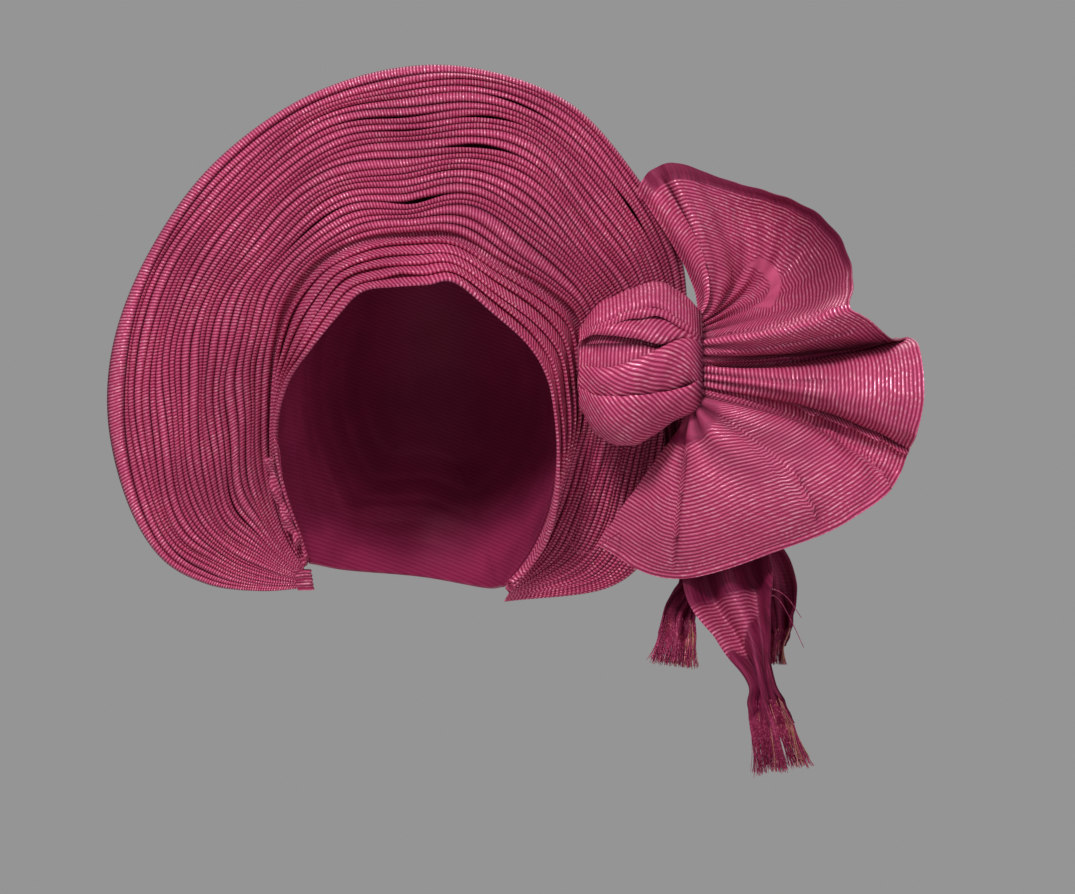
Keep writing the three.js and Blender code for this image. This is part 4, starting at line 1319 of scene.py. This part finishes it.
def loose_threads():
    """A few single threads that have come out of the weave."""
    paths = [spline(route, np.linspace(0, 1, 16)) * OPENING_SIZE for route in THREAD_ROUTES]
    piece = strands("loose_threads", paths, THREAD_RADIUS, "Fringe thread")
    seat(piece, [])
    return piece


# The stage

def floor_point(u, v):
    """A round plain floor under the form."""
    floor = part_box("tail_front")[0][2] - FLOOR_DROP
    angle = 2 * np.pi * u
    return np.stack([
        FLOOR_RADIUS * v * np.cos(angle), FLOOR_RADIUS * v * np.sin(angle), floor + 0 * u], axis=-1)


def aim(item, target):
    """Turns a light or the camera so that it looks at a point."""
    direction = Vector(target) - item.location
    item.rotation_euler = direction.to_track_quat("-Z", "Y").to_euler()


def add_light(name, place, target, size, power):
    bpy.ops.object.select_all(action="DESELECT")
    bpy.ops.object.light_add(type="AREA", location=place)
    light = bpy.context.active_object
    light.name = name
    light.data.shape = "DISK"
    light.data.size = size
    light.data.energy = power
    aim(light, target)


def stage():
    """The floor, the three lights, the plain world and the photograph's camera."""
    scene = bpy.context.scene
    studio = scene.gele_studio
    piece = cloth_grid("studio_floor", 96, 8, floor_point, weave_along_columns)
    merge_seam(piece)
    face_front(piece, (0, 0, 1))
    material, tree, shader = new_material("Studio floor")
    share = remap(tree, noise(tree, object_coordinates(tree), 9.0, 4.0), 0.3, 0.7, 0.0, 0.05)
    colour = blend_colour(tree, share, tuple(studio.floor_colour), FLOOR_GRAIN)
    put(shader.inputs["Base Color"], colour)
    shader.inputs["Roughness"].default_value = 0.9
    piece.data.materials.append(material)
    bpy.ops.object.shade_smooth()
    for name, (place, size, power) in LIGHTS.items():
        add_light(name, place, LIGHT_TARGET, size, getattr(studio, power))
    world = bpy.data.worlds.new("Studio light")
    world.use_nodes = True
    background = world.node_tree.nodes["Background"]
    background.inputs["Color"].default_value = (1, 1, 1, 1)
    background.inputs["Strength"].default_value = WORLD_STRENGTH
    scene.world = world
    scene.view_settings.view_transform = "Standard"
    bpy.ops.object.camera_add(location=(CAMERA_X, -studio.camera_distance, CAMERA_Z))
    camera = bpy.context.active_object
    camera.name = "photo_camera"
    camera.rotation_euler = (math.pi / 2, 0, 0)
    camera.data.sensor_width = SENSOR_WIDTH
    camera.data.lens = SENSOR_WIDTH * studio.camera_distance / studio.view_width
    scene.camera = camera


class GELE_OT_pleated_fan(bpy.types.Operator):
    """Add the fan of narrow pleats"""

    bl_idname = "gele.pleated_fan"
    bl_label = "Pleated Fan"
    bl_options = {"REGISTER", "UNDO"}

    def execute(self, context):
        pleated_fan()
        return {"FINISHED"}


class GELE_OT_band_folds(bpy.types.Operator):
    """Add the flat folds round the opening"""

    bl_idname = "gele.band_folds"
    bl_label = "Band Folds"
    bl_options = {"REGISTER", "UNDO"}

    def execute(self, context):
        for fold in range(BAND_FOLDS):
            band_fold(fold)
        return {"FINISHED"}


class GELE_OT_back_wrap(bpy.types.Operator):
    """Add the wrap that closes the back"""

    bl_idname = "gele.back_wrap"
    bl_label = "Back Wrap"
    bl_options = {"REGISTER", "UNDO"}

    def execute(self, context):
        back_wrap()
        return {"FINISHED"}


class GELE_OT_knot(bpy.types.Operator):
    """Add the wound knot and its folds"""

    bl_idname = "gele.knot"
    bl_label = "Knot"
    bl_options = {"REGISTER", "UNDO"}

    def execute(self, context):
        knot_core()
        for name, row in KNOT_FOLDS.items():
            knot_fold(name, *row)
        return {"FINISHED"}


class GELE_OT_bow(bpy.types.Operator):
    """Add the ruffled bow"""

    bl_idname = "gele.bow"
    bl_label = "Bow"
    bl_options = {"REGISTER", "UNDO"}

    def execute(self, context):
        bow()
        return {"FINISHED"}


class GELE_OT_tails(bpy.types.Operator):
    """Add the hanging tails with their fringe"""

    bl_idname = "gele.tails"
    bl_label = "Tails"
    bl_options = {"REGISTER", "UNDO"}

    def execute(self, context):
        for seed, name in enumerate(TAIL_ROWS):
            tail(name, 80 + 10 * seed)
        return {"FINISHED"}


class GELE_OT_small_ties(bpy.types.Operator):
    """Add the side tie, the gather tab and the loose threads"""

    bl_idname = "gele.small_ties"
    bl_label = "Small Ties and Threads"
    bl_options = {"REGISTER", "UNDO"}

    def execute(self, context):
        side_tie()
        gather_tab()
        loose_threads()
        return {"FINISHED"}


class GELE_OT_stage(bpy.types.Operator):
    """Add the floor, the lights and the camera"""

    bl_idname = "gele.stage"
    bl_label = "Stage"
    bl_options = {"REGISTER", "UNDO"}

    def execute(self, context):
        stage()
        return {"FINISHED"}


class GELE_PT_panel(bpy.types.Panel):
    """Sizes, colours and pieces of the gele"""

    bl_idname = "GELE_PT_panel"
    bl_label = "Tied Gele"
    bl_space_type = "VIEW_3D"
    bl_region_type = "UI"
    bl_category = "Gele"

    def draw(self, context):
        for group in (context.scene.gele_cloth, context.scene.gele_form, context.scene.gele_studio):
            box = self.layout.box()
            for name in group.__annotations__:
                box.prop(group, name)
        for step in STEPS:
            self.layout.operator(step.bl_idname)


STEPS = (
    GELE_OT_stage, GELE_OT_pleated_fan, GELE_OT_band_folds, GELE_OT_back_wrap, GELE_OT_knot,
    GELE_OT_bow, GELE_OT_tails, GELE_OT_small_ties,
)
CLASSES = (GeleCloth, GeleForm, GeleStudio, *STEPS, GELE_PT_panel)


def register():
    for kind in CLASSES:
        bpy.utils.register_class(kind)
    bpy.types.Scene.gele_cloth = PointerProperty(type=GeleCloth)
    bpy.types.Scene.gele_form = PointerProperty(type=GeleForm)
    bpy.types.Scene.gele_studio = PointerProperty(type=GeleStudio)


def unregister():
    del bpy.types.Scene.gele_cloth
    del bpy.types.Scene.gele_form
    del bpy.types.Scene.gele_studio
    for kind in reversed(CLASSES):
        bpy.utils.unregister_class(kind)


def main():
    register()
    bpy.ops.gele.stage()
    bpy.ops.gele.pleated_fan()
    bpy.ops.gele.band_folds()
    bpy.ops.gele.back_wrap()
    bpy.ops.gele.knot()
    bpy.ops.gele.bow()
    bpy.ops.gele.tails()
    bpy.ops.gele.small_ties()


if __name__ == "__main__":
    main()
